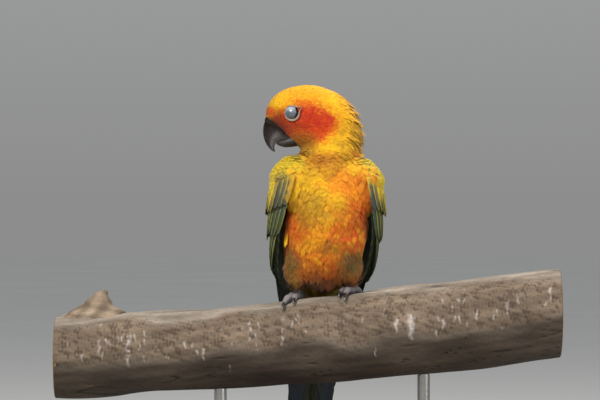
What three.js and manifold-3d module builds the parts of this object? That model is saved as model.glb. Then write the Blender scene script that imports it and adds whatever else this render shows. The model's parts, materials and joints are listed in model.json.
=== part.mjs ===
// A life-size sun conure resting on a cut length of branch, on a plain display stand.
// Millimetres, +Z up. The origin is the middle of the base's underside. The bird faces -Y,
// with its head turned to its own right, towards -X.
import * as THREE from "three";
import { mergeVertices } from "three/addons/utils/BufferGeometryUtils.js";
import Module from "manifold-3d";

const wasm = await Module();
wasm.setup();

// The gap that touching pieces keep, and the shortest edge that is left alone.
const GAP = 0.3;
const SHORTEST = 0.04;
const DEGREE = Math.PI / 180;

// Stand.
const BASE_WIDTH = 210;
const BASE_DEPTH = 148;
const BASE_HEIGHT = 12;
const BASE_CORNER = 30;
const BASE_BEVEL = 2;
const ROD_RADIUS = 4;
const ROD_SPREAD = 64;

// Heights and places of the branch and the bird.
const PERCH_TOP = 136;
const PERCH_BACK = -12;
const PERCH_LEFT = -168;
const PERCH_RIGHT = 150;
const BODY_YAW = 5 * DEGREE;
const BODY_LEAN = 2.2 * DEGREE;
const TAIL_SLOPE = 24 * DEGREE;
const TAIL_LENGTH = 138;

// Colours by part, as [hue as a hex colour, roughness].
const FINISH = {
  breast: [0xe8a012, 0.85],
  head: [0xf0a010, 0.85],
  wing: [0x3f7a3a, 0.7],
  tail: [0x6b7a2c, 0.7],
  thigh: [0xc9781c, 0.9],
  bill: [0x26211f, 0.4],
  cere: [0xb8b0a6, 0.6],
  lid: [0xd9d6d0, 0.6],
  eye: [0x1a1310, 0.15],
  foot: [0x5e5654, 0.75],
  claw: [0x24211f, 0.4],
  branch: [0x7b6650, 0.9],
  stand: [0x2c2927, 0.45],
  rod: [0x8f8f8c, 0.35],
};

// Helpers.

const v3 = (x, y, z) => new THREE.Vector3(x, y, z);
const lerp = THREE.MathUtils.lerp;
const clamp = THREE.MathUtils.clamp;

// A smooth function through stations [at, value], in rising order of at.
function through(stations) {
  const last = stations.length - 1;
  const slopes = stations.map((_, i) => {
    const before = stations[Math.max(i - 1, 0)];
    const after = stations[Math.min(i + 1, last)];
    return (after[1] - before[1]) / (after[0] - before[0]);
  });
  return (at) => {
    const x = clamp(at, stations[0][0], stations[last][0]);
    let i = 0;
    while (i < last - 1 && x > stations[i + 1][0]) i += 1;
    const [x0, y0] = stations[i];
    const [x1, y1] = stations[i + 1];
    const span = x1 - x0;
    const t = (x - x0) / span;
    const rise = 3 * t * t - 2 * t * t * t;
    const leave = t * (1 - t) * (1 - t) * span;
    const arrive = t * t * (t - 1) * span;
    return lerp(y0, y1, rise) + leave * slopes[i] + arrive * slopes[i + 1];
  };
}

// A manifold solid from points and triangles, turned the right way out.
function solidFrom(points, faces) {
  const triVerts = Uint32Array.from(faces);
  const vertProperties = Float32Array.from(points.flatMap((p) => [p.x, p.y, p.z]));
  const made = new wasm.Manifold(new wasm.Mesh({ numProp: 3, vertProperties, triVerts }));
  if (made.volume() > 0) return made;
  for (let i = 0; i < triVerts.length; i += 3) {
    [triVerts[i + 1], triVerts[i + 2]] = [triVerts[i + 2], triVerts[i + 1]];
  }
  return new wasm.Manifold(new wasm.Mesh({ numProp: 3, vertProperties, triVerts }));
}

// A manifold solid from a closed three.js geometry.
function solidOf(geometry, matrix = new THREE.Matrix4()) {
  const bare = geometry.clone().applyMatrix4(matrix);
  bare.deleteAttribute("normal");
  bare.deleteAttribute("uv");
  const merged = mergeVertices(bare, 1e-4);
  const position = merged.getAttribute("position");
  const points = Array.from({ length: position.count }, (_, i) =>
    new THREE.Vector3().fromBufferAttribute(position, i));
  return solidFrom(points, Array.from(merged.index.array));
}

// A closed solid through rings of one even count. Each end is closed by a strip from side to
// side, which also suits a thin curved section given as its inner and then its outer edge.
function loft(rings) {
  const count = rings[0].length;
  const faces = [];
  for (let r = 0; r < rings.length - 1; r += 1) {
    for (let i = 0; i < count; i += 1) {
      const a = r * count + i;
      const b = r * count + ((i + 1) % count);
      faces.push(a, b, b + count, a, b + count, a + count);
    }
  }
  const last = (rings.length - 1) * count;
  for (let i = 0; i < count / 2 - 1; i += 1) {
    const j = count - 1 - i;
    faces.push(i, j, j - 1, i, j - 1, i + 1);
    faces.push(last + i, last + j - 1, last + j, last + i, last + i + 1, last + j - 1);
  }
  return solidFrom(rings.flat(), faces);
}

// A round tube along points, with a radius at each.
function tube(path, radii, sides) {
  const rings = path.map((p, i) => {
    const ahead = path[Math.min(i + 1, path.length - 1)];
    const behind = path[Math.max(i - 1, 0)];
    const along = ahead.clone().sub(behind).normalize();
    const across = v3(1, 0, 0).cross(along).lengthSq() > 0.05 ? v3(1, 0, 0) : v3(0, 1, 0);
    const u = across.clone().cross(along).normalize();
    const w = along.clone().cross(u);
    return Array.from({ length: sides }, (_, k) => {
      const turn = (k / sides) * Math.PI * 2;
      return p.clone()
        .addScaledVector(u, Math.cos(turn) * radii[i])
        .addScaledVector(w, Math.sin(turn) * radii[i]);
    });
  });
  return loft(rings);
}

const joined = (...solids) => solids.flat(2).reduce((sum, s) => sum.add(s));
const less = (solid, ...cutters) => cutters.flat().reduce((rest, c) => rest.subtract(c), solid);

// What is left of a solid on the side of a plane that its normal points to.
function keepBeyond(solid, normal, point) {
  const size = 1000;
  const unit = normal.clone().normalize();
  const turn = new THREE.Quaternion().setFromUnitVectors(v3(0, 0, 1), unit);
  const middle = point.clone().addScaledVector(unit, -size / 2);
  const behind = new THREE.Matrix4().compose(middle, turn, v3(1, 1, 1));
  return solid.subtract(solidOf(new THREE.BoxGeometry(size, size, size), behind));
}

// The largest closed surface of a solid: loose scraps go, and sealed hollows are filled.
function largest(solid) {
  return solid.decompose().reduce((a, b) => (b.volume() > a.volume() ? b : a));
}

// A solid's points, and its triangles as lists of three of their places.
function meshOf(solid) {
  const { vertProperties, triVerts, numProp } = solid.getMesh();
  const points = [];
  for (let i = 0; i < vertProperties.length; i += numProp) {
    points.push(v3(...vertProperties.subarray(i, i + 3)));
  }
  const faces = [];
  for (let i = 0; i < triVerts.length; i += 3) faces.push([...triVerts.subarray(i, i + 3)]);
  return { points, faces };
}

// The same solid moved and turned by a matrix.
function place(solid, matrix) {
  const { points, faces } = meshOf(solid);
  return solidFrom(points.map((p) => p.applyMatrix4(matrix)), faces.flat());
}

// Draws the ends of every very short edge together, which the unions and cuts leave behind.
function withoutShortEdges({ points, faces }) {
  const around = points.map(() => new Set());
  faces.forEach((face, i) => face.forEach((v) => around[v].add(i)));
  const neighbours = (v) => new Set([...around[v]].flatMap((i) => faces[i]));
  const drawTogether = (a, b) => {
    for (const i of [...around[b]]) {
      const face = faces[i];
      if (face.includes(a)) {
        face.forEach((v) => around[v].delete(i));
        faces[i] = null;
      } else {
        face[face.indexOf(b)] = a;
        around[b].delete(i);
        around[a].add(i);
      }
    }
  };
  let more = true;
  while (more) {
    more = false;
    for (let i = 0; i < faces.length; i += 1) {
      for (let k = 0; k < 3 && faces[i]; k += 1) {
        const a = faces[i][k];
        const b = faces[i][(k + 1) % 3];
        if (points[a].distanceTo(points[b]) > SHORTEST) continue;
        const byB = neighbours(b);
        const shared = [...neighbours(a)].filter((v) => v !== a && v !== b && byB.has(v));
        if (shared.length !== 2) continue;
        drawTogether(a, b);
        more = true;
      }
    }
  }
  return { points, faces: faces.filter(Boolean) };
}

// Places of the bird on its perch.

// Set above the branch's top under the bird: sizes measured from there, +Z up.
const atPerch = new THREE.Matrix4().makeTranslation(0, PERCH_BACK, PERCH_TOP);
const bodyTurn = new THREE.Matrix4().makeRotationZ(BODY_YAW)
  .multiply(new THREE.Matrix4().makeRotationY(BODY_LEAN));
const atBody = atPerch.clone().multiply(bodyTurn);

// The branch.

const perchMiddle = through([
  [-203, -38.7], [-140, -36.2], [-77, -32.4], [-14, -27.4], [49, -21.8], [112, -14], [175, -7.2],
]);
const perchRadius = through([
  [-203, 25.5], [-140, 26], [-77, 25.5], [-14, 26.9], [49, 28.3], [112, 28.8], [175, 26.8],
]);
const KNOB_AT = -143;
const KNOB_HEIGHT = 15;

// The branch's surface at x and at a turn round it, 0 at the top and rising to the front.
function perchPoint(x, turn, out = 0) {
  const gnarl = 0.55 * Math.sin(3 * turn + x * 0.045) + 0.4 * Math.sin(5 * turn - x * 0.083);
  const r = perchRadius(x) + gnarl + out;
  return v3(x, -Math.sin(turn) * r, perchMiddle(x) + Math.cos(turn) * r);
}

function perchSolid(out = 0) {
  const steps = 28;
  const sides = 18;
  const rings = [];
  for (let i = 0; i <= steps; i += 1) {
    const x = lerp(PERCH_LEFT - out, PERCH_RIGHT + out, i / steps);
    rings.push(Array.from({ length: sides }, (_, k) =>
      perchPoint(x, (k / sides) * Math.PI * 2, out)));
  }
  return loft(rings);
}

// The broken stub of a side twig on top of the branch, leaning to the right.
function knobSolid() {
  const sides = 12;
  const levels = [
    [-14, 21, 13, -1], [0, 20, 11, -1], [4.5, 12.5, 8.5, 0], [10, 7, 6, 2], [KNOB_HEIGHT, 4, 4, 3.5],
  ];
  const top = perchMiddle(KNOB_AT) + perchRadius(KNOB_AT);
  const rings = levels.map(([up, halfLong, halfWide, shift]) =>
    Array.from({ length: sides }, (_, k) => {
      const turn = (k / sides) * Math.PI * 2;
      const rough = 1 + 0.07 * Math.sin(3 * turn + up);
      return v3(
        KNOB_AT + shift + Math.cos(turn) * halfLong * rough,
        Math.sin(turn) * halfWide * rough,
        top + up + 0.8 * Math.cos(turn));
    }));
  return loft(rings);
}

// Body forms.

// Level sections of the trunk, up from the branch: [height, middle, half width, front, back].
const TRUNK = [
  [4.6, 9, 7, 7, 8],
  [6.8, 8, 14, 14, 14],
  [11, 6, 21, 21.5, 20],
  [18, 3.5, 25, 26.5, 23.5],
  [30, 0.5, 27.6, 29.5, 26],
  [44, -2.5, 29, 31, 27.2],
  [58, -4, 28.4, 30.5, 27.6],
  [70, -3.5, 26.6, 28, 26.8],
  [80, -2, 24.3, 24.5, 25],
  [88, -0.5, 21, 20.5, 22],
  [93, 0, 17, 17, 18],
];
const column = (table, i) => through(table.map((row) => [row[0], row[i]]));
const trunk = [1, 2, 3, 4].map((i) => column(TRUNK, i));

function trunkSolid(out = 0) {
  const steps = 14;
  const sides = 24;
  const low = TRUNK[0][0];
  const high = TRUNK.at(-1)[0];
  const rings = [];
  for (let i = 0; i <= steps; i += 1) {
    const share = 0.5 - 0.5 * Math.cos((i / steps) * Math.PI);
    const z = lerp(low, high, lerp(i / steps, share, 0.6));
    const [middle, width, front, back] = trunk.map((f) => f(z));
    rings.push(Array.from({ length: sides }, (_, k) => {
      const turn = (k / sides) * Math.PI * 2;
      const depth = Math.sin(turn) > 0 ? back : front;
      return v3(
        Math.cos(turn) * (width + out),
        middle + Math.sin(turn) * (depth + out),
        z + (i === 0 ? -out : 0));
    }));
  }
  return loft(rings);
}

// The head in profile, from the bill to the nape: [x, top, bottom, half width].
const HEAD = [
  [-35.8, 117.6, 114.2, 2.4],
  [-34.8, 120.8, 113.2, 5],
  [-32.6, 125, 112, 8],
  [-28.6, 129.2, 109, 10.8],
  [-23.5, 132.3, 104, 13.2],
  [-18, 134, 97, 15],
  [-12, 135.1, 92.8, 16.3],
  [-6, 135.1, 91, 17.1],
  [0, 134, 90, 17.4],
  [7, 131.6, 89, 17],
  [13, 128.6, 88, 15.8],
  [18.6, 123, 88, 13.8],
  [22.6, 115.6, 90, 10.8],
  [25.2, 109.5, 94, 7],
  [26.4, 104.5, 98, 3],
];
const HEAD_BACK = 1;
const head = [1, 2, 3].map((i) => column(HEAD, i));

function headSolid(out = 0) {
  const steps = 20;
  const sides = 22;
  const first = HEAD[0][0];
  const last = HEAD.at(-1)[0];
  const rings = [];
  for (let i = 0; i <= steps; i += 1) {
    const share = 0.5 - 0.5 * Math.cos((i / steps) * Math.PI);
    const x = lerp(first, last, lerp(i / steps, share, 0.7));
    const [top, bottom, width] = head.map((f) => f(x));
    const outEnd = (i === 0 ? -out : 0) + (i === steps ? out : 0);
    rings.push(Array.from({ length: sides }, (_, k) => {
      const turn = (k / sides) * Math.PI * 2;
      const full = Math.abs(Math.cos(turn)) ** 0.9 * Math.sign(Math.cos(turn));
      return v3(
        x + outEnd,
        HEAD_BACK + full * (width + out),
        (top + bottom) / 2 + Math.sin(turn) * ((top - bottom) / 2 + out));
    }));
  }
  return loft(rings);
}

// The neck under the turned head: [height, middle in x, half width, middle in y, half depth].
const NECK = [
  [74, 2.5, 22, -2, 21],
  [80, 3.4, 23, -1.5, 21.5],
  [86, 4.8, 21.3, -1, 20.5],
  [92, 6.6, 18.9, 0, 19],
  [98, 7, 18.6, 0.5, 17.6],
  [106, 6, 17.6, 1, 16],
  [114, 3, 13, 1, 12],
];

function neckSolid(out = 0) {
  const steps = 8;
  const sides = 24;
  const [across, width, back, depth] = [1, 2, 3, 4].map((i) => column(NECK, i));
  const rings = [];
  for (let i = 0; i <= steps; i += 1) {
    const z = lerp(NECK[0][0], NECK.at(-1)[0], i / steps);
    rings.push(Array.from({ length: sides }, (_, k) => {
      const turn = (k / sides) * Math.PI * 2;
      return v3(
        across(z) + Math.cos(turn) * (width(z) + out),
        back(z) + Math.sin(turn) * (depth(z) + out),
        z);
    }));
  }
  return loft(rings);
}

// Bill, cere and eyes.

// Sections of the upper bill: [culmen x, culmen z, edge x, edge z, half width].
const UPPER_BILL = [
  [-29, 117.2, -13.5, 103.5, 7.6],
  [-33, 115.8, -17.5, 102.3, 7.5],
  [-35.5, 112.4, -20.8, 101.2, 7.2],
  [-36.9, 108.2, -23.6, 100.2, 6.5],
  [-37.1, 103.6, -26.2, 99.4, 5.5],
  [-36.2, 99.4, -28.4, 98.2, 4.1],
  [-34.4, 95.8, -29.8, 96.2, 2.7],
  [-32, 93.2, -30, 94, 1.4],
  [-30.2, 91.9, -29.4, 92.3, 0.5],
];

function upperBillSolid(out = 0) {
  const sides = 16;
  return loft(UPPER_BILL.map(([cx, cz, ex, ez, width]) => {
    const culmen = v3(cx, 0, cz);
    const edge = v3(ex, 0, ez);
    const middle = culmen.clone().add(edge).multiplyScalar(0.5);
    const reach = culmen.clone().sub(middle);
    const long = reach.length() + out;
    reach.normalize();
    return Array.from({ length: sides }, (_, k) => {
      const turn = (k / sides) * Math.PI * 2;
      const towards = Math.cos(turn);
      const flat = towards < 0 ? 0.72 : 1;
      const side = Math.sign(Math.sin(turn)) * Math.abs(Math.sin(turn)) ** flat;
      return middle.clone()
        .addScaledVector(reach, towards * long)
        .add(v3(0, HEAD_BACK + side * (width + out), 0));
    });
  }));
}

// The lower bill: [x, top, bottom, half width].
const LOWER_BILL = [
  [-12.5, 101, 96.4, 5.4],
  [-16, 101, 95.6, 6],
  [-20, 101, 95, 6],
  [-24, 100.4, 95, 5.1],
  [-27, 99.4, 95.9, 3.6],
  [-28.8, 98.2, 96.9, 1.6],
];

function lowerBillSolid() {
  const sides = 14;
  return loft(LOWER_BILL.map(([x, top, bottom, width]) =>
    Array.from({ length: sides }, (_, k) => {
      const turn = (k / sides) * Math.PI * 2;
      return v3(
        x,
        HEAD_BACK + Math.cos(turn) * width,
        (top + bottom) / 2 + (Math.sin(turn) * (top - bottom)) / 2);
    })));
}

const EYE_X = -18.8;
const EYE_Z = 116.1;
const EYE_RADIUS = 4.5;
const EYE_SINK = 3;
const EYE_DEPTH = 2.3;
const LID_RING = 4.3;
const LID_THICKNESS = 0.65;
const LID_SHELL = 0.55;
const LID_OPEN_FROM = 1.9;
const CHEEK_TURN = 14 * DEGREE;
const CERE_DEEP = 3.3;
const CERE_PROUD = 0.5;
const CERE_FOOT = v3(-30, 0, 108);
const NOSTRIL_RADIUS = 0.9;

// How far the side of the head stands from its middle plane at the eye.
const eyeSide = head[2](EYE_X) * 0.985;

const sphere = (radius, centre, detail = 24) =>
  solidOf(new THREE.SphereGeometry(radius, detail, detail / 2),
    new THREE.Matrix4().makeTranslation(centre.x, centre.y, centre.z));

// side is -1 for the bird's left, which faces the viewer, and 1 for its right.
function eyeCentre(side) {
  return v3(EYE_X, HEAD_BACK + side * (eyeSide - EYE_SINK), EYE_Z);
}

function eyeSolid(side, out = 0) {
  const plane = HEAD_BACK + side * (eyeSide - EYE_DEPTH - out);
  return keepBeyond(sphere(EYE_RADIUS + out, eyeCentre(side), 20), v3(0, side, 0), v3(0, plane, 0));
}

// The bare ring round the eye and the pale lid drawn over all but its rear edge.
function lidSolid(side) {
  const centre = eyeCentre(side);
  const middle = v3(EYE_X, HEAD_BACK + side * (eyeSide + 0.1), EYE_Z);
  const outward = v3(-Math.sin(CHEEK_TURN), side * Math.cos(CHEEK_TURN), 0);
  const face = new THREE.Quaternion().setFromUnitVectors(v3(0, 0, 1), outward);
  const ringShape = new THREE.TorusGeometry(LID_RING, LID_THICKNESS, 5, 15);
  ringShape.applyMatrix4(new THREE.Matrix4().compose(middle, face, v3(1, 1, 1)));
  const dome = sphere(EYE_RADIUS + GAP + LID_SHELL, centre, 14);
  const drawn = keepBeyond(dome, v3(-1, 0, 0.12), v3(EYE_X + LID_OPEN_FROM, 0, EYE_Z));
  const whole = joined(solidOf(ringShape), keepBeyond(drawn, outward, middle));
  return largest(less(whole, sphere(EYE_RADIUS + GAP, centre, 14)));
}

// Wings.

// The ellipse that the folded wings lie round: [height, middle, half width, half depth].
const WING_LINE = [
  [-52, 51, 10.5, 6.5],
  [-40, 44.2, 14, 8.5],
  [-25, 35, 18.8, 12],
  [-10, 25, 22.8, 16],
  [0, 18, 25.2, 19],
  [11, 11, 27.6, 22.4],
  [22, 5.5, 29.7, 25.2],
  [33, 0.8, 30.8, 27.4],
  [46, -2.2, 30.9, 28.6],
  [60, -3.6, 29.8, 28.8],
  [70, -3.4, 28, 27.8],
  [80, -2, 25.2, 25.6],
  [92, -0.2, 20.4, 21.5],
];
const wingLine = [1, 2, 3].map((i) => column(WING_LINE, i));

// A point on the wing's cone at a height, a turn from the side to the back, and a layer.
function wingPoint(side, z, turn, layer) {
  const [middle, width, depth] = wingLine.map((f) => f(z));
  return v3(
    side * Math.cos(turn * DEGREE) * (width + layer),
    middle + Math.sin(turn * DEGREE) * (depth + layer),
    z);
}

// A curved sheet on the wing's cone: [height, front turn, back turn, inner layer, outer layer].
function wingSheet(side, stations, half, dome) {
  return loft(stations.map(([z, from, to, low, high]) => {
    const row = Array.from({ length: half + 1 }, (_, i) => i / half);
    const inner = row.map((share) => wingPoint(side, z, lerp(from, to, share), low));
    const outer = row.map((share) => {
      const fall = dome ? Math.sqrt(1 - 0.96 * (2 * share - 1) ** 4) : 1;
      return wingPoint(side, z, lerp(from, to, share), lerp(low, high, fall));
    });
    return [...inner, ...outer.reverse()];
  }));
}

// The arm and hand under the small coverts.
const ARM = [
  [56, -40, 64, 0, 1.8],
  [60, -45, 68, 0, 4.6],
  [65, -49, 70, 0, 7.1],
  [72, -52, 69, 0, 7.2],
  [75, -52, 64, 0, 9.5],
  [79.5, -50, 58, 0, 8.9],
  [84.5, -45, 50, 0.2, 7.5],
  [88.5, -33, 38, 0.3, 5],
  [91.5, -12, 20, 0.4, 2],
];

// The roots of the flight feathers, under the secondaries.
const HAND = [
  [5, 16, 56, -1.8, 2.1],
  [15, 3, 62, -1.9, 2.1],
  [28, -9, 63, -1.8, 2.1],
  [45, -22, 63, -0.3, 2.1],
  [61, -33, 61, 0.1, 2.1],
];

// Feathers keep GAP between them where they overlie, and are this thick.
const VANE_THICK = 0.5;
const VANE_LAP = VANE_THICK + GAP + 0.03;
const WING_BEND = 30;

// Shapes of a feather along its length: [share of the length, share of the width].
const LONG_WEB = [[0, 0.6], [0.3, 0.95], [0.6, 1], [0.84, 0.9], [0.95, 0.62], [1, 0.2]];
const SHORT_WEB = [[0, 0.8], [0.45, 1], [0.8, 0.84], [1, 0.34]];

// A thin feather through frames: its middle line, the way across it and the way up off it.
function vane(frames) {
  return loft(frames.map(({ middle, across, up, half }, i) => {
    const thick = VANE_THICK * (i === frames.length - 1 ? 0.7 : 1);
    const low = [-half, half].map((reach) => middle.clone().addScaledVector(across, reach));
    const high = low.map((p) => p.clone().addScaledVector(up, thick)).reverse();
    return [...low, ...high];
  }));
}

// The tiers from the wing's tip up. Feathers run from the leading edge to the back, and root
// and tip give the first and last one's [height, turn].
const TIERS = [
  {
    name: "primaries", count: 6, width: 8, layer: 0.2, web: LONG_WEB,
    root: [[25, 4], [14, 42]], tip: [[-48, 46], [-5, 55]],
  },
  {
    name: "secondaries", count: 7, width: 9.2, layer: 3.3, web: LONG_WEB,
    root: [[62, -31], [61, 60]], tip: [[15, -3], [0, 63]],
  },
  {
    name: "greater coverts", count: 7, width: 10.2, layer: 5.6, web: SHORT_WEB,
    root: [[67, -39], [66, 58]], tip: [[38, -29], [30, 61]],
  },
  {
    name: "median coverts", count: 7, width: 10.8, layer: 8, web: SHORT_WEB,
    root: [[77, -44], [76, 54]], tip: [[55, -40], [47, 59]],
  },
];

// A tier's feathers. Each tilts, so that its back edge lies under the next one's front edge.
function tierVanes(side, { count, width, layer, web, root, tip }) {
  const line = (i, t) => {
    const share = i / (count - 1);
    const [z, turn] = [0, 1].map((k) =>
      lerp(lerp(root[0][k], root[1][k], share), lerp(tip[0][k], tip[1][k], share), t));
    return { z, turn, point: wingPoint(side, z, turn, layer) };
  };
  const steps = Array.from({ length: 41 }, (_, k) => k / 40);
  return Array.from({ length: count }, (_, i) => {
    const next = steps.map((t) => line(i < count - 1 ? i + 1 : i - 1, t).point);
    return vane(web.map(([t, share]) => {
      const { z, turn, point } = line(i, t);
      const along = line(i, t + 0.02).point.sub(line(i, t - 0.02).point).normalize();
      const outward = wingPoint(side, z, turn, layer + 1).sub(point);
      const backward = wingPoint(side, z, turn + 1, layer).sub(point);
      const across = along.clone().cross(outward).normalize();
      if (across.dot(backward) < 0) across.negate();
      const pitch = Math.max(Math.min(...next.map((p) => p.distanceTo(point))), 2.4);
      const bulge = (pitch * Math.max(width - pitch, 0)) / (2 * WING_BEND);
      across.addScaledVector(outward.normalize(), -(VANE_LAP + bulge) / pitch).normalize();
      const up = across.clone().cross(along).normalize();
      if (up.dot(outward) < 0) up.negate();
      return { middle: point, across, up, half: (width * share) / 2 };
    }));
  });
}

// Tail.

const TAIL_ROOT = v3(0, 21, 11);
const TAIL_FEATHERS = 6;
const TAIL_WEB = 13;
const TAIL_TOP = 1.6;
const tailAlong = v3(0, Math.sin(TAIL_SLOPE), -Math.cos(TAIL_SLOPE));
const tailUp = v3(0, Math.cos(TAIL_SLOPE), Math.sin(TAIL_SLOPE));

// The root of the tail with its coverts: [distance, half width, under side, upper side].
const TAIL_CONE = [
  [-10, 15, 9, 8],
  [0, 15.5, 8.4, 8],
  [12, 14.6, 5.8, 6.6],
  [24, 13.4, 4.2, 5],
  [36, 12.2, 3.2, 3.6],
  [48, 10.8, 2.2, 2.6],
  [57, 7, 1.5, 1.9],
];

function tailPoint(along, across, up) {
  return TAIL_ROOT.clone()
    .addScaledVector(tailAlong, along)
    .addScaledVector(tailUp, up)
    .add(v3(across, 0, 0));
}

function tailConeSolid(out = 0, extra = 0) {
  const sides = 20;
  return loft(TAIL_CONE.map(([along, width, under, over], level) => {
    const end = level === TAIL_CONE.length - 1 ? extra : 0;
    return Array.from({ length: sides }, (_, k) => {
      const turn = (k / sides) * Math.PI * 2;
      const high = Math.sin(turn) > 0 ? over : under;
      return tailPoint(along + end, Math.cos(turn) * (width + out), Math.sin(turn) * (high + out));
    });
  }));
}

// The space round the whole tail, which its neighbours are cut clear of.
function tailClearance() {
  const width = 17.5;
  const slab = loft([-10, 90].map((along) => [
    tailPoint(along, -width, -5), tailPoint(along, width, -5),
    tailPoint(along, width, 2.6), tailPoint(along, -width, 2.6),
  ]));
  return joined(slab, tailConeSolid(GAP));
}

// Half of the tail's feathers, from the long middle ones out to the short outer ones, each
// lying under the one before. The two middle ones overlap, so one side's is set lower.
function tailVanes(side) {
  return Array.from({ length: TAIL_FEATHERS }, (_, i) => {
    const share = i / (TAIL_FEATHERS - 1);
    const length = TAIL_LENGTH * (1 - 0.45 * share ** 0.9);
    const layer = i === 0 ? (side < 0 ? 1 : 0) : i + 1;
    return vane(LONG_WEB.map(([t, webShare]) => {
      const out = side * (i === 0 ? 3.3 : TAIL_WEB / 2 + 0.3 + 0.5 * (i - 1) + t * share * 1.6);
      const lift = TAIL_TOP - layer * VANE_LAP;
      return {
        middle: tailPoint(lerp(8, length, t), out, lift),
        across: v3(1, 0, 0),
        up: tailUp,
        half: (TAIL_WEB * webShare) / 2,
      };
    }));
  });
}

// Legs and claws.

// Each foot: where its shank stands and where its toes end, along the branch, and how far
// each toe and claw reaches round it, in degrees from the top to the front.
const FEET = [
  {
    name: "right", at: -15.5, back: 2,
    toes: [
      { name: "outer_front", to: -24.2, reach: 25, claw: 42 },
      { name: "inner_front", to: -17.6, reach: 18, claw: 31 },
      { name: "outer_rear", to: -22, reach: -34, claw: -52 },
      { name: "inner_rear", to: -10.5, reach: -27, claw: -43 },
    ],
  },
  {
    name: "left", at: 18.5, back: 2,
    toes: [
      { name: "outer_front", to: 14.6, reach: 21, claw: 38 },
      { name: "inner_front", to: 11, reach: 15, claw: 28 },
      { name: "outer_rear", to: 25, reach: -34, claw: -52 },
      { name: "inner_rear", to: 13.5, reach: -27, claw: -43 },
    ],
  },
];
const TOE_RADII = [2.5, 2.2, 2.35, 2, 2.15, 1.7, 1.3];
const CLAW_RADII = [1.25, 1.2, 1, 0.7, 0.35];
const SHANK = 12;

// The line of a toe, arched over the branch from the shank.
function toePath(foot, toe) {
  return TOE_RADII.map((radius, i) => {
    const t = i / (TOE_RADII.length - 1);
    const turn = toe.reach * t * DEGREE;
    const lift = radius * 0.82 + 1.1 * Math.sin(t * Math.PI);
    return perchPoint(lerp(foot.at, toe.to, t ** 0.8), turn, lift);
  });
}

function clawPath(foot, toe) {
  return CLAW_RADII.map((_, i) => {
    const t = i / (CLAW_RADII.length - 1);
    const turn = lerp(toe.reach + Math.sign(toe.reach) * 0.4, toe.claw, t) * DEGREE;
    const lift = 1.25 + 1.9 * Math.sin(t * Math.PI * 0.8) - 0.6 * t;
    return perchPoint(toe.to + 0.6 * t * Math.sign(toe.to - foot.at), turn, lift);
  });
}

function footSolid(foot, out = 0) {
  const shankFoot = perchPoint(foot.at, 0, 2.4).add(v3(0, 0.6, 0));
  const shankTop = perchPoint(foot.at, 0, SHANK).add(v3(0, 5, 0));
  shankTop.z += out;
  const shank = tube([shankFoot, shankTop], [2.8 + out, 2.5 + out], 8);
  const radii = TOE_RADII.map((radius) => radius + out);
  return joined(shank, foot.toes.map((toe) => tube(toePath(foot, toe), radii, 8)));
}

// The feathered thigh beside the belly, in the body's own frame.
const THIGH_SIZE = v3(9.5, 12.5, 15.5);
function thighSolid(side, out = 0) {
  const shape = new THREE.SphereGeometry(1, 16, 9);
  const turn = new THREE.Matrix4().makeTranslation(side * 17.4, -4.5, 21.4 + side * 1.4)
    .multiply(new THREE.Matrix4().makeRotationX(-14 * DEGREE))
    .multiply(new THREE.Matrix4().makeScale(
      THIGH_SIZE.x + out, THIGH_SIZE.y + out, THIGH_SIZE.z + out));
  return solidOf(shape.rotateX(Math.PI / 2), turn);
}

// Display stand.

function baseSolid() {
  const w = BASE_WIDTH / 2 - BASE_BEVEL;
  const d = BASE_DEPTH / 2 - BASE_BEVEL;
  const r = BASE_CORNER;
  const outline = new THREE.Shape();
  outline.moveTo(w - r, -d);
  outline.absarc(w - r, -d + r, r, -Math.PI / 2, 0);
  outline.absarc(w - r, d - r, r, 0, Math.PI / 2);
  outline.absarc(-w + r, d - r, r, Math.PI / 2, Math.PI);
  outline.absarc(-w + r, -d + r, r, Math.PI, Math.PI * 1.5);
  const plate = new THREE.ExtrudeGeometry(outline, {
    depth: BASE_HEIGHT - 2 * BASE_BEVEL,
    bevelThickness: BASE_BEVEL,
    bevelSize: BASE_BEVEL,
    bevelSegments: 1,
    curveSegments: 5,
  });
  return solidOf(plate, new THREE.Matrix4().makeTranslation(0, 0, BASE_BEVEL));
}

function rodSolid(side) {
  const low = BASE_HEIGHT + GAP;
  const high = PERCH_TOP + perchMiddle(side * ROD_SPREAD);
  const rod = new THREE.CylinderGeometry(ROD_RADIUS, ROD_RADIUS, high - low, 20);
  const lay = new THREE.Matrix4()
    .makeTranslation(side * ROD_SPREAD, PERCH_BACK, (low + high) / 2)
    .multiply(new THREE.Matrix4().makeRotationX(Math.PI / 2));
  return less(solidOf(rod, lay), place(perchSolid(GAP), atPerch));
}

// Assembly.

const object = new THREE.Group();

// Adds one named mesh with its own material.
function add(name, solid, finish) {
  const { points, faces } = withoutShortEdges(meshOf(largest(solid)));
  const geometry = new THREE.BufferGeometry().setFromPoints(points);
  geometry.setIndex(faces.flat());
  geometry.computeVertexNormals();
  const [color, roughness] = FINISH[finish];
  const material = new THREE.MeshStandardMaterial({ color, roughness, metalness: 0 });
  if (finish === "rod") material.metalness = 1;
  const mesh = new THREE.Mesh(geometry, material);
  mesh.name = name;
  object.add(mesh);
}

const perch = place(perchSolid(), atPerch);
const perchKeepOut = place(perchSolid(GAP), atPerch);
const trunkKeepOut = place(trunkSolid(GAP), atBody);
const neckKeepOut = place(neckSolid(GAP), atPerch);
const headKeepOut = place(headSolid(GAP), atPerch);
const tailKeepOut = place(tailClearance(), atBody);
const thighKeepOut = [1, -1].map((side) => place(thighSolid(side, GAP), atBody));
const feetKeepOut = FEET.map((foot) => place(footSolid(foot, GAP), atPerch));

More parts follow.
